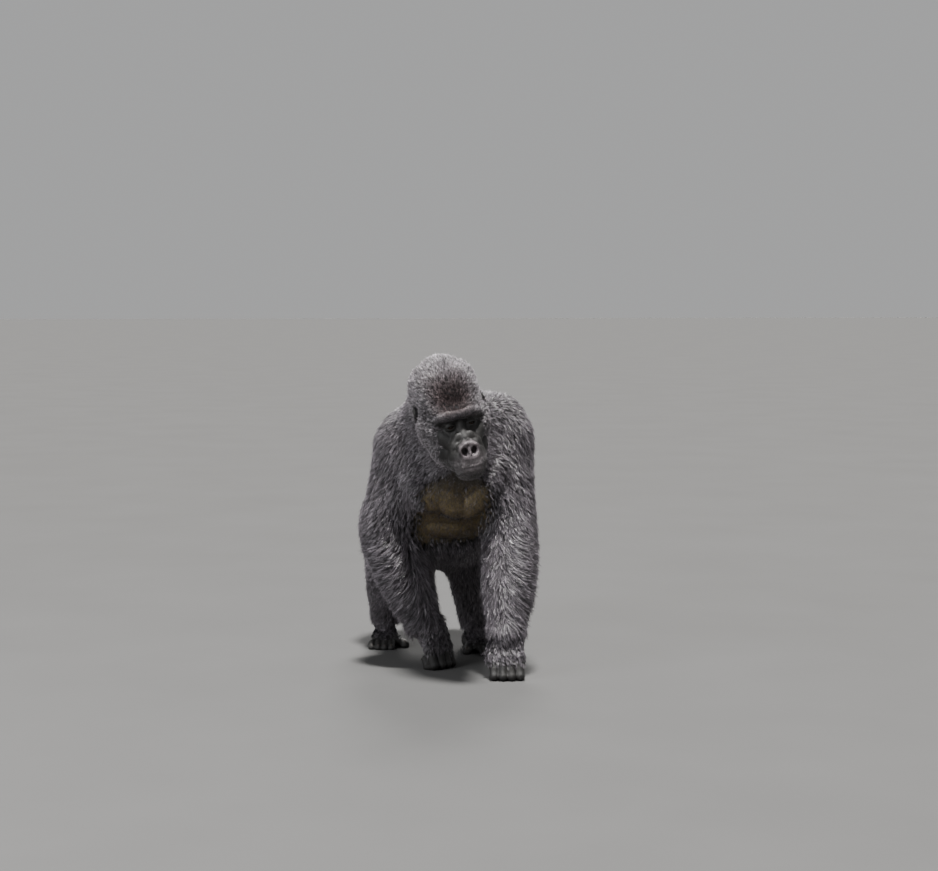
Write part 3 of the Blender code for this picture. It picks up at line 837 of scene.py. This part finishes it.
def under_coat(points):
    """Where no fine mesh is needed: off the face, the ears, the hands and the feet."""
    x, y, z = in_head_frame(points).T
    in_face = (y < 0.075) & (np.abs(x) < 0.115) & (z < 0.085) & (z > -0.215)
    return ~(in_face | (ear_distance(points) < EAR_REACH) | low_down(points))


def thin_zone(skin, zone_of, keep):
    """Collapses edges in one zone of the skin until this share of its faces is left."""
    zone = zone_of(points_of(skin.data))
    group = skin.vertex_groups.new(name="zone")
    group.add(np.flatnonzero(zone).tolist(), 1.0, "REPLACE")
    apply(skin, "DECIMATE", ratio=1.0 - zone.mean() * (1.0 - keep), vertex_group=group.name)
    skin.vertex_groups.clear()


def cut_flat(skin):
    """Takes off what lies below the floor, and closes the flats that the animal stands on."""
    edit_all(skin)
    bpy.ops.mesh.bisect(plane_co=(0, 0, 0.0004), plane_no=(0, 0, 1), clear_inner=True, use_fill=True)
    bpy.ops.mesh.select_all(action="SELECT")
    bpy.ops.mesh.quads_convert_to_tris()
    bpy.ops.object.mode_set(mode="OBJECT")


def unwrap(obj):
    edit_all(obj)
    bpy.ops.uv.smart_project(angle_limit=math.radians(78.0), island_margin=0.001)
    bpy.ops.object.mode_set(mode="OBJECT")
    obj.data.uv_layers[0].name = "OFBake"


def make_skin():
    parts = [core(), dome(), face(), ears(), chest()]
    parts += [part(name) for name in SIDE for part in (hand, foot)]
    skin = join(parts, "skin")
    fuse(skin, FINE_VOXEL, 3)
    carve(skin)
    thin_zone(skin, under_coat, keep=0.08)
    thin_zone(skin, low_down, keep=0.34)
    cut_flat(skin)
    skin.data.shade_smooth()
    unwrap(skin)
    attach(skin, "root")
    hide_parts(*FLESH)
    return skin


# ---- Markings, painted shade and a painted highlight: maps that the skin and the coat share -----

def markings_and_painted_shade(points, normals, owners):
    """Shares of silver, of brown with painted shade, and of bare chest at each point."""
    kinds = kinds_of(owners)
    y = points[:, 1]
    across, _, up = in_head_frame(points).T
    body = np.isin(kinds, ("chest", "belly", "thigh", "neck", "upper_arm"))
    silver = body * ease(0.15, 0.75, normals[:, 2]) * ease(-0.22, -0.02, y) * (1.0 - ease(0.38, 0.55, y))
    # the brown share lies on the forehead above the brow: a brown tint of the hair, and painted shade in the
    # hollow there
    crown = ease(0.030, 0.060, up) * (1.0 - ease(0.105, 0.200, up))
    crown = crown * (1.0 - ease(0.020, 0.090, np.abs(across + 0.012))) * (kinds == "head")
    return {"silver": silver, "brown": crown, "bare_chest": bare_chest(points, normals)}


def nose_map(local):
    """1 on the nose, whose pale colour is a painted highlight on glossy skin, less on the lips and chin, 0
    on the rest of the face.
    """
    nose_pad = 1.0 - ease(0.70, 1.20, reach(local, (0.0, -0.055, -0.080), (0.037, 0.030, 0.037)))
    lips = 1.0 - ease(0.70, 1.25, reach(local, (0.0, -0.030, -0.128), (0.058, 0.046, 0.044)))
    return np.maximum(nose_pad, 0.75 * lips)


# ---- Coat ---------------------------------------------------------------------------------------

def lie_on(node, points, normals):
    """The way the coat lies on one node of flesh, of any length."""
    kind, name = kind_of(node), node.rsplit("_", 1)[-1]
    side = SIDE.get(name, 0)
    if kind in BONES:
        start, end = (np.array(joint[name]) for joint in BONES[kind])
        along = unit(end - start)
    if kind in ("head", "ear"):
        away = in_head_frame(points) - np.array((0.0, -0.050, -0.015))
        return unit(away) @ np.array(HEAD.to_3x3()).T + np.array((0.0, 0.25, -0.10))
    if kind == "neck":
        return normals * np.array((0.5, 0.0, 0.0)) + np.array((0.0, 0.75, -0.55))
    if kind in ("chest", "belly"):
        flank = np.abs(normals[:, 0])
        under = np.maximum(-normals[:, 2], 0.0)
        out = 0.12 * np.sign(points[:, 0]) * flank
        return np.stack([out, 0.85 - 0.35 * flank, -0.25 - 0.9 * flank + 0.2 * under], 1)
    if kind in LIMB_LEAN:
        out, back, up = LIMB_LEAN[kind]
        return along + np.array((out * side, back, up))
    if kind == "forearm":
        low = ease(0.20, 0.36, points[:, 2])[:, None]
        inward = ease(0.0, 1.0, normals @ np.array((-0.87 * side, -0.49, 0.0)))[:, None]
        return np.array((0.95 * side, 0.55, 0.0)) * (1.0 - 0.95 * inward) + along * (0.75 - 0.40 * low)
    if kind == "hand":
        return np.array((0.25 * side, -0.25, -1.0))
    return np.array((0.1 * side, -1.0, -0.3))  # foot


def lie(points, normals, owners):
    """The way the coat lies at each point, before it is laid in the skin's surface."""
    way = np.zeros_like(points)
    for number, node in enumerate(FLESH):
        here = owners == number
        if here.any():
            way[here] = lie_on(node, points[here], normals[here])
    return unit(way)


def thickness(points, normals, owners):
    """How densely the coat grows, 0 on bare skin, and how long it is."""
    kinds = kinds_of(owners)
    local = in_head_frame(points)
    y, z = local[:, 1], local[:, 2]
    height = points[:, 2]
    length = by_kind(LENGTH, owners)
    brow_length = 0.30 + 0.40 * ease(0.045, 0.085, z) + 0.30 * ease(0.05, 0.12, y)
    cheek_length = (0.45 + 0.55 * ease(0.05, 0.11, y)) * (1.0 - 0.45 * ease(-0.07, -0.13, z))
    on_head = np.isin(kinds, ("head", "ear"))
    length[on_head] *= np.where(z > 0.02, brow_length, cheek_length)[on_head]
    length *= 0.45 + 0.55 * ease(0.026, 0.055, ear_distance(points))
    density = np.ones(len(points))
    back_of_hand = ease(0.052, 0.088, height) * ease(-0.35, 0.25, -normals[:, 1])
    for kind, cover in (
        ("head", face_edge(local)),
        ("hand", np.maximum(back_of_hand, ease(0.110, 0.140, height))),
        ("foot", ease(0.030, 0.052, height) * ease(-0.1, 0.4, normals[:, 2] + 0.3)),
        ("ear", np.zeros(len(points))),
    ):
        density = np.where(kinds == kind, cover, density)
    inward = -0.87 * np.where(points[:, 0] > 0.0, 1.0, -1.0) * normals[:, 0] - 0.50 * normals[:, 1]
    density *= 1.0 + 0.6 * ease(0.45, 0.95, inward) * (kinds == "forearm")
    bare = bare_chest(points, normals)
    density *= 1.0 - bare
    length *= 1.0 - 0.55 * bare
    density[height < 0.012] = 0.0
    return density, length


def nearby_code(points):
    """A number for each point, from its coordinates bit by bit: near points get near numbers."""
    steps = ((points - points.min(0)) / 0.0015).astype(np.int64)  # cells of 1.5 mm, ten bits to an axis
    code = np.zeros(len(points), np.int64)
    for bit in range(10):
        for axis in range(3):
            code |= ((steps[:, axis] >> bit) & 1) << (3 * bit + axis)
    return code


class Coat:
    """The skin as arrays, with the way the coat lies, its density, length and depth at each point."""

    def __init__(self, skin):
        mesh = skin.data
        mesh.calc_loop_triangles()
        self.points = points_of(mesh)
        self.owners = NEAREST.owners(self.points)
        self.faces = read(mesh.loop_triangles, "vertices", 3, np.int32)
        loops = read(mesh.loop_triangles, "loops", 3, np.int32)
        self.uv = read(mesh.uv_layers["OFBake"].data, "uv", 2, np.float32)[loops]
        self.fit(mesh, read(mesh.vertices, "normal", 3))
        corners = self.points[self.faces]
        cross = np.cross(corners[:, 1] - corners[:, 0], corners[:, 2] - corners[:, 0])
        self.area = np.linalg.norm(cross, axis=1) / 2
        self.order = np.argsort(nearby_code(corners.mean(1)), kind="stable")
        self.tree = KDTree(len(self.points))
        for index, point in enumerate(self.points.tolist()):
            self.tree.insert(point, index)
        self.tree.balance()

    def fit(self, mesh, normals):
        """Works out the lie, density, length, depth, markings and painted shade of the main coat."""
        self.smooth = unit(even_out(mesh, normals, 6))
        self.comb(even_out(mesh, lie(self.points, normals, self.owners), 24))
        density, length = thickness(self.points, normals, self.owners)
        self.density = even_out(mesh, density, 3)
        self.density[density < 0.02] = 0.0
        self.length = even_out(mesh, length, 8)
        depth = by_kind(DEPTH, self.owners)
        on_head = np.isin(kinds_of(self.owners), ("head", "ear"))
        depth[on_head] = np.maximum(head_depth(in_head_frame(self.points)), 0.003)[on_head]
        self.depth = even_out(mesh, depth, 10)
        shares = markings_and_painted_shade(self.points, normals, self.owners)
        self.maps = {name: even_out(mesh, values, 4) for name, values in shares.items()}
        for name, values in {**self.maps, "coated": self.density}.items():
            set_map(mesh, name, values)

    def comb(self, way):
        """Lays this direction in the skin's surface."""
        self.way = unit(way - (way * self.smooth).sum(1)[:, None] * self.smooth)

    def sow(self, density, length, depth):
        """Another growth on the same skin, everywhere of one length and one depth."""
        self.density = density
        self.length = np.full(len(density), length)
        self.depth = np.full(len(density), depth)

    def weight(self, wanted):
        """How much hair each face carries, by its area and how densely the coat grows."""
        return self.area * self.density[self.faces].mean(1) * wanted

    def nearest(self, points):
        return np.array([self.tree.find(point)[1] for point in points.tolist()])

    def roots(self, draws, wanted, count):
        """Picks places on the faces that are wanted, and reads the coat there."""
        weight = self.weight(wanted)
        order = self.order[weight[self.order] > 0.0]
        filled = np.cumsum(weight[order])
        places = (np.arange(count) + draws.random(count)) / count * filled[-1]
        chosen = order[np.minimum(np.searchsorted(filled, places), len(order) - 1)]
        share = draws.random((count, 2))
        over = share.sum(1) > 1.0
        share[over] = 1.0 - share[over]
        share = np.column_stack([1.0 - share.sum(1), share])
        corners = self.faces[chosen]

        def mixed(values):
            return (values.reshape(count, 3, -1) * share[..., None]).sum(1)

        return {
            "point": mixed(self.points[corners]),
            "normal": unit(mixed(self.smooth[corners])),
            "way": unit(mixed(self.way[corners])),
            "length": mixed(self.length[corners])[:, 0],
            "depth": mixed(self.depth[corners])[:, 0],
            "uv": mixed(self.uv[chosen]),
            "corner": corners[:, 0],
        }

    def guides(self, draws, root, fall):
        """Three points along each tuft, which follows the lie of the coat and rises to its tip."""
        count = len(root["point"])
        length = root["length"] * draws.uniform(0.72, 1.22, count)
        rise = np.minimum(root["depth"] * draws.uniform(0.75, 1.30, count), 0.75 * length)
        stride = np.sqrt(np.maximum(length**2 - rise**2, 1e-8)) / 2.0
        turn = draws.normal(0.0, 0.20, count)[:, None]
        way = unit(root["way"] + np.cross(root["normal"], root["way"]) * turn)
        on_skin = root["point"]
        stations = [on_skin]
        for share in (0.5, 1.0):
            on_skin = on_skin + way * stride[:, None]
            near = self.nearest(on_skin)
            normal = self.smooth[near]
            gap = ((on_skin - self.points[near]) * normal).sum(1)
            on_skin = on_skin - normal * np.clip(gap, -0.008, 0.008)[:, None]
            place = on_skin + normal * (rise * (1.0 - (1.0 - share) ** 1.7))[:, None]
            place[:, 2] -= fall * length * share**2
            stations.append(place)
            way = unit(0.5 * way + 0.5 * unit(self.way[near] + np.cross(normal, self.way[near]) * turn))
        return np.stack(stations, 1)


def hair_lines(draws, way, normal, line, growth):
    """Three points along each hair, which keeps to its tuft's line, bends a little and gathers to it."""
    total = len(line)
    shares = np.array((0.0, 0.5, 1.0))
    angle = draws.uniform(0.0, 2.0 * math.pi, total)
    radius = growth.spread * np.sqrt(draws.random(total))
    aside = np.cross(normal, way)
    offset = (np.cos(angle) * radius)[:, None] * way + (np.sin(angle) * radius)[:, None] * aside
    stretch = line[:, :1] + (line - line[:, :1]) * draws.uniform(0.60, 1.08, total)[:, None, None]
    gathered = offset[:, None] * (1.0 - growth.gather * shares**1.3)[:, None]
    bends = draws.normal(0.0, 0.070, (total, 1, 3)) * (shares[:, None] ** 2)
    bends = bends * np.linalg.norm(line[:, 2] - line[:, 0], axis=1)[:, None, None]
    points = stretch + gathered + bends
    points[:, 0] -= normal * ROOT_DIG
    points[..., 2] = np.maximum(points[..., 2], HAIR_CLEARANCE)
    return points


def blades(draws, points, normal, width):
    """Five vertices to each hair: a flat blade with two at its root, two at its middle, one at its tip."""
    total = len(points)
    tangent = unit(np.gradient(points, axis=1))
    roll = draws.normal(0.0, 0.65, total)[:, None, None]
    flat = unit(np.cross(tangent, normal[:, None]))
    across = flat * np.cos(roll) + np.cross(flat, tangent) * np.sin(roll)
    breadth = width * draws.uniform(0.7, 1.3, total)[:, None, None]
    edge = across[:, :2] * breadth * np.array((0.9, 0.95))[:, None] / 2
    pairs = np.stack([points[:, :2] - edge, points[:, :2] + edge], 2).reshape(total, 4, 3)
    return np.concatenate([pairs, points[:, 2:]], 1)


def blade_mesh(name, vertices):
    """A mesh of blades, each a quad and a triangle, and the vertex at each of its loops."""
    total = len(vertices)
    corners = np.array((0, 1, 3, 2, 2, 3, 4))
    loops = (np.arange(total)[:, None] * 5 + corners).ravel()
    sizes = np.tile((4, 3), total)
    starts = np.concatenate([[0], np.cumsum(sizes)[:-1]])
    mesh = bpy.data.meshes.new(name)
    mesh.vertices.add(total * 5)
    mesh.vertices.foreach_set("co", vertices.astype(np.float32).ravel())
    mesh.loops.add(len(loops))
    mesh.loops.foreach_set("vertex_index", loops.astype(np.int32))
    mesh.polygons.add(len(sizes))
    mesh.polygons.foreach_set("loop_start", starts.astype(np.int32))
    mesh.update(calc_edges=True)
    return mesh, loops


def patches(places, tuft, hairs):
    """Where each blade lies on the unwrapped skin: a strip of its tuft's patch."""
    strip = UV_PATCH / hairs
    left = np.tile(np.arange(hairs), len(places)) * strip
    u = left[:, None] + strip * 0.8 * np.array((0, 1, 0, 1, 0.5))
    v = UV_PATCH * np.array((0, 0, 0.5, 0.5, 1.0))
    uv = np.stack([u, np.broadcast_to(v, u.shape)], -1) - UV_PATCH / 2 + places[tuft][:, None]
    return np.clip(uv, 0.0005, 0.9995).reshape(-1, 2)


def grow(coat, name, wanted, growth, finish, seed):
    """Makes one piece of the coat from tufts of tapered hairs."""
    draws = np.random.default_rng(seed)
    tufts = max(int(growth.rate * coat.weight(wanted).sum() * FULLNESS), 8)
    root = coat.roots(draws, wanted, tufts)
    guide = coat.guides(draws, root, growth.fall)
    tuft = np.repeat(np.arange(tufts), growth.hairs)
    normal = root["normal"][tuft]
    lines = hair_lines(draws, root["way"][tuft], normal, guide[tuft], growth)
    mesh, loops = blade_mesh(name, blades(draws, lines, normal, growth.width))
    uv = patches(root["uv"], tuft, growth.hairs)[loops]
    mesh.uv_layers.new(name="OFBake").data.foreach_set("uv", uv.astype(np.float32).ravel())
    set_map(mesh, "along", np.tile(np.array((0.0, 0.0, 0.5, 0.5, 1.0)), len(tuft)))
    tone = draws.random(tufts)[tuft] * 0.30 + draws.random(len(tuft)) * 0.70
    set_map(mesh, "tone", np.repeat(tone, 5))
    for key, values in coat.maps.items():
        set_map(mesh, key, np.repeat(values[root["corner"]][tuft], 5))
    obj = bpy.data.objects.new(name, mesh)
    bpy.context.scene.collection.objects.link(obj)
    mesh.materials.append(finish)
    mesh.shade_smooth()
    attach(obj, "root")


# ---- Finishes -----------------------------------------------------------------------------------

def coat_finish(name, painted_shade_root_colour, painted_sheen_tip_colour):
    """Black hair, darker at its root as painted shade and grey at its tip as painted sheen, silver on the
    back, brown with painted shade on the crown.
    """
    made = Finish(name)
    along = made.attribute("along")
    tone = made.attribute("tone")
    # painted light: the root-to-tip ramp darkens every hair towards its root as shade deep in the coat and
    # greys its tip as sheen; the silver and brown hairs below do the same
    base = made.mix(made.ramp(along, (0.25, 0.0), (0.70, 0.38), (1.0, 1.0)), painted_shade_root_colour, painted_sheen_tip_colour)
    silver_hair = made.mix(along, (0.040, 0.038, 0.040), (0.330, 0.318, 0.325))
    # brown hair, darker than the head's coat as painted shade in the forehead hollow
    brown_and_shade_hair = made.mix(along, (0.010, 0.008, 0.008), (0.200, 0.145, 0.145))
    broken = made.ramp(made.noise(9.0), (0.35, 0.35), (0.65, 1.0))
    base = made.mix(made.maths("MULTIPLY", made.attribute("silver"), broken), base, silver_hair)
    base = made.mix(made.attribute("brown"), base, brown_and_shade_hair)
    base = made.shaded(base, made.ramp(tone, (0.0, 0.08), (0.45, 0.44), (0.80, 1.45), (1.0, 2.3)))
    base = made.shaded(base, made.ramp(made.noise(24.0, 3.0), (0.3, 0.70), (0.7, 1.25)))
    return made.cover({
        "Base Color": base,
        "Roughness": made.ramp(tone, (0.0, 0.50), (1.0, 0.30)),
        "Normal": made.bump(made.noise(900.0, 2.0), 0.0004, 0.35),
        "Specular IOR Level": 0.48,
        "Sheen Weight": 0.10,
        "Sheen Roughness": 0.4,
        "Sheen Tint": (0.74, 0.70, 0.78),
    })


def chest_skin(made, mottle):
    """Olive brown skin, with painted light across the breast muscles and painted shade towards the throat.
    """
    brown = made.ramp(mottle, (0.28, (0.086, 0.062, 0.025)), (0.72, (0.170, 0.124, 0.050)))
    # painted light and shade by height: a lit band across the breast muscles, shade falling dark towards the
    # throat
    light = made.ramp(made.height(), (0.50, 0.90), (0.60, 1.10), (0.64, 0.90), (0.71, 0.20))
    return made.shaded(brown, light)


def skin_finish():
    """Black leathery skin, glossy on the face, glossy on the nose with a painted highlight in its pale
    colour, olive brown on the bare chest.
    """
    made = Finish("gorilla_skin")
    mottle = made.noise(26.0, 5.0)
    fine = made.noise(150.0)
    coated = made.attribute("coated")
    on_nose = made.attribute("nose")
    black = made.ramp(mottle, (0.30, (0.0040, 0.0037, 0.0037)), (0.72, (0.0125, 0.0113, 0.0104)))
    under = made.ramp(mottle, (0.30, (0.0150, 0.0138, 0.0150)), (0.70, (0.0270, 0.0250, 0.0270)))
    under = made.mix(made.attribute("silver"), under, made.mix(0.5, under, (0.030, 0.029, 0.031)))
    # painted highlight: the nose's glossy black skin is coloured pale grey, and the lips get it at a lower
    # share
    painted_nose_shine = made.ramp(mottle, (0.30, (0.060, 0.051, 0.055)), (0.68, (0.240, 0.206, 0.220)))
    base = made.mix(coated, black, under)
    base = made.mix(made.attribute("bare_chest"), base, chest_skin(made, mottle))
    base = made.mix(on_nose, base, painted_nose_shine)
    pores = made.ramp(made.cells(620.0), (0.0, 0.62), (0.25, 1.0))
    base = made.mix(0.6, base, made.shaded(base, pores))
    dull = made.mix(coated, made.ramp(mottle, (0.30, 0.50), (0.70, 0.64)), (0.85, 0.85, 0.85))
    creases = made.ramp(made.cells(330.0, made.place((1.0, 1.0, 2.3))), (0.0, 0.0), (0.12, 1.0))
    cracks = made.ramp(made.cells(560.0), (0.0, 0.0), (0.30, 1.0))
    relief = made.maths("ADD", made.maths("ADD", creases, made.maths("MULTIPLY", cracks, 0.45)), fine)
    coarser = made.ramp(made.height(), (0.10, 2.4), (0.14, 1.0))  # on the hands and feet
    return made.cover({
        "Base Color": made.shaded(base, made.ramp(fine, (0.42, 0.85), (0.66, 1.30))),
        "Roughness": made.mix(on_nose, dull, (0.22, 0.22, 0.22)),
        "Normal": made.bump(made.maths("MULTIPLY", relief, coarser), 0.0005, 0.36),
        "Specular IOR Level": 0.42,
    })


def eye_finish():
    """Dark brown iris round a black pupil, brown white of the eye, wet all over."""
    made = Finish("wet_eye")
    rays = made.noise(700.0, 3.0)
    waver = made.maths("MULTIPLY", made.maths("SUBTRACT", rays, 0.5), 0.05)
    iris = made.ramp(
        made.maths("ADD", made.attribute("from_axis"), waver),
        (0.00, (0.002, 0.002, 0.002)),
        (0.20, (0.002, 0.002, 0.002)),
        (0.23, (0.013, 0.0060, 0.0030)),
        (0.42, (0.022, 0.0105, 0.0048)),
        (0.50, (0.008, 0.005, 0.004)),
        (0.56, (0.014, 0.011, 0.010)),
        (1.00, (0.014, 0.010, 0.009)),
    )
    return made.cover({
        "Base Color": iris,
        "Roughness": made.ramp(rays, (0.3, 0.10), (0.7, 0.18)),
        "Normal": made.bump(rays, 0.0002, 0.2),
        "Coat Weight": 0.25,
        "Coat Roughness": 0.03,
        "Specular IOR Level": 0.08,
    })


def nail_finish():
    made = Finish("nail")
    streaks = made.noise(260.0, place=made.place((1.0, 0.15, 0.6)))
    return made.cover({
        "Base Color": made.ramp(streaks, (0.3, (0.012, 0.010, 0.009)), (0.7, (0.050, 0.042, 0.036))),
        "Roughness": made.ramp(streaks, (0.3, 0.28), (0.7, 0.42)),
        "Normal": made.bump(streaks, 0.0005, 0.4),
    })


# ---- Eyes and nails -----------------------------------------------------------------------------

def make_eye(name, finish):
    """An eyeball with the bulge of its cornea, looking forward."""
    bpy.ops.object.select_all(action="DESELECT")
    bpy.ops.mesh.primitive_uv_sphere_add(segments=64, ring_count=40, radius=EYE_RADIUS)
    ball = bpy.context.object
    ball.name = "eyeball_" + name
    mesh = ball.data
    points = points_of(mesh)
    from_axis = np.arccos(np.clip(points[:, 2] / EYE_RADIUS, -1.0, 1.0)) / 1.2
    bulge = 1.0 + 0.055 * (1.0 - ease(0.25, 0.55, from_axis))
    set_points(mesh, points * bulge[:, None])
    set_map(mesh, "from_axis", from_axis)
    gaze = turned(SIDE[name] * -3.0, "Z") @ turned(84.0, "X")
    mesh.transform(HEAD @ Matrix.Translation((SIDE[name] * EYE_SPREAD, EYE_DEPTH, 0.0)) @ gaze)
    mesh.materials.append(finish)
    mesh.shade_smooth()
    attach(ball, "root")
    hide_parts("eye_" + name)


def nail(place, spot, size, tilt, swing=0.0):
    """A curved nail: a flattened ball of this width, length and thickness, bent down at its sides."""
    width, length, thick = size
    bpy.ops.object.select_all(action="DESELECT")
    bpy.ops.mesh.primitive_uv_sphere_add(segments=20, ring_count=12, radius=1.0)
    made = bpy.context.object
    made.data.transform(Matrix.Diagonal((width / 2, length / 2, thick, 1.0)))
    points = points_of(made.data)
    points[:, 2] -= 0.70 * thick * (2.0 * points[:, 0] / width) ** 2
    set_points(made.data, points)
    made.data.transform(place @ Matrix.Translation(spot) @ turned(swing, "Z") @ turned(tilt, "X"))
    return made


def make_nails(finish):
    nails = []
    for name, side in SIDE.items():
        place = floor_frame(ANKLE[name], FOOT_TURN[name])
        for toe in range(4):
            across, tip = toe_line(side, toe)
            spot = (across * 1.08, tip - 0.0050, SOLE + 0.0262)
            nails.append(nail(place, spot, (0.0150, 0.0150, 0.0030), 38.0))
        spot = (-side * 0.0825, -0.1565, SOLE + 0.0350)
        nails.append(nail(place, spot, (0.0190, 0.0180, 0.0036), 34.0, side * -30.0))  # big toe
        place = floor_frame(KNUCKLES[name], HAND_TURN[name])
        for finger in range(4):
            across, _ = finger_line(finger)
            nails.append(nail(place, (across, 0.0136, 0.0350), (0.0140, 0.0150, 0.0030), 112.0))
        nails.append(nail(place, (-side * 0.0605, -0.0150, 0.0440), (0.0125, 0.0150, 0.0028), 70.0))  # thumb
    nails = join(nails, "nails")
    nails.data.materials.append(finish)
    nails.data.shade_smooth()
    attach(nails, "root")


# ---- The coat's pieces --------------------------------------------------------------------------

def grow_long_hair(coat, black, crown):
    """The 13 pieces of the main coat, each on the faces of its own part of the body."""
    first = coat.faces[:, 0]
    owner = np.array(FLESH)[coat.owners[first]]
    kind = kinds_of(coat.owners[first])
    left = coat.points[first][:, 0] > 0.0
    trunk = np.isin(kind, ("chest", "belly"))
    back = coat.smooth[first][:, 2] > 0.30
    grow(coat, "coat_head", np.isin(kind, ("head", "ear")), GROWTH["head"], crown, 1)
    grow(coat, "coat_neck", kind == "neck", GROWTH["neck"], black, 2)
    grow(coat, "coat_back", trunk & back, GROWTH["back"], black, 3)
    grow(coat, "coat_flank_left", trunk & ~back & left, GROWTH["flank"], black, 4)
    grow(coat, "coat_flank_right", trunk & ~back & ~left, GROWTH["flank"], black, 5)
    for seed, name in ((10, "left"), (20, "right")):
        for step, limb in enumerate((("upper_arm",), ("forearm", "hand"), ("thigh",), ("shank", "foot"))):
            here = np.isin(owner, [part + "_" + name for part in limb])
            grow(coat, "coat_" + limb[0] + "_" + name, here, GROWTH[limb[0]], black, seed + step)


def grow_short_hair(coat, black, crown, pale):
    """Sparse down on the bare chest, pale bristles round the mouth, and short hair along the brow."""
    everywhere = np.ones(len(coat.faces), bool)
    x, y, z = in_head_frame(coat.points).T
    head = np.isin(kinds_of(coat.owners), ("head", "neck"))
    upright = np.array(HEAD.to_3x3())
    coat.sow(coat.maps["bare_chest"], 0.016, 0.0022)
    grow(coat, "chest_down", everywhere, GROWTH["chest_down"], black, 62)
    lips = ease(-0.104, -0.114, z) * (1.0 - ease(0.045, 0.075, y)) * (z > -0.185)
    sides = np.maximum(ease(0.030, 0.044, np.abs(x)), ease(-0.150, -0.160, z))
    mouth = np.minimum(1.0, np.abs(z + 0.139 - 1.6 * x * x) / 0.006)
    coat.sow((0.25 + 0.75 * sides) * lips * mouth * head, 0.0080, 0.0030)
    coat.comb(upright @ np.array((0.0, -0.25, -1.0)) + 0.6 * coat.smooth)
    grow(coat, "lip_bristles", everywhere, GROWTH["lip_bristles"], pale, 60)
    ridge = ease(0.018, 0.026, z) * (1.0 - ease(0.050, 0.062, z)) * (y < 0.055) * (np.abs(x) < 0.085)
    coat.sow(ridge * head, 0.0070, 0.0020)
    coat.comb(upright @ np.array((0.0, 0.35, 1.0)) + 0.2 * coat.smooth)
    grow(coat, "brow_hair", everywhere, GROWTH["brow_hair"], crown, 61)


def grow_coat(coat):
    black = coat_finish("black_coat", (0.0026, 0.0024, 0.0028), (0.2850, 0.2540, 0.2860))
    # the head's coat has paler tips than the body's: painted sheen on the top-lit head
    crown = coat_finish("head_coat_painted_sheen", (0.0030, 0.0027, 0.0030), (0.5000, 0.4550, 0.4900))
    pale = coat_finish("lip_hair", (0.0600, 0.0560, 0.0580), (0.2600, 0.2450, 0.2500))
    grow_long_hair(coat, black, crown)
    grow_short_hair(coat, black, crown, pale)


def main():
    set_camera()
    lay_floor()
    set_lights()
    skin = make_skin()
    coat = Coat(skin)
    set_map(skin.data, "nose", nose_map(in_head_frame(coat.points)))
    skin.data.materials.clear()
    skin.data.materials.append(skin_finish())
    grow_coat(coat)
    eye = eye_finish()
    for name in SIDE:
        make_eye(name, eye)
    make_nails(nail_finish())


main()
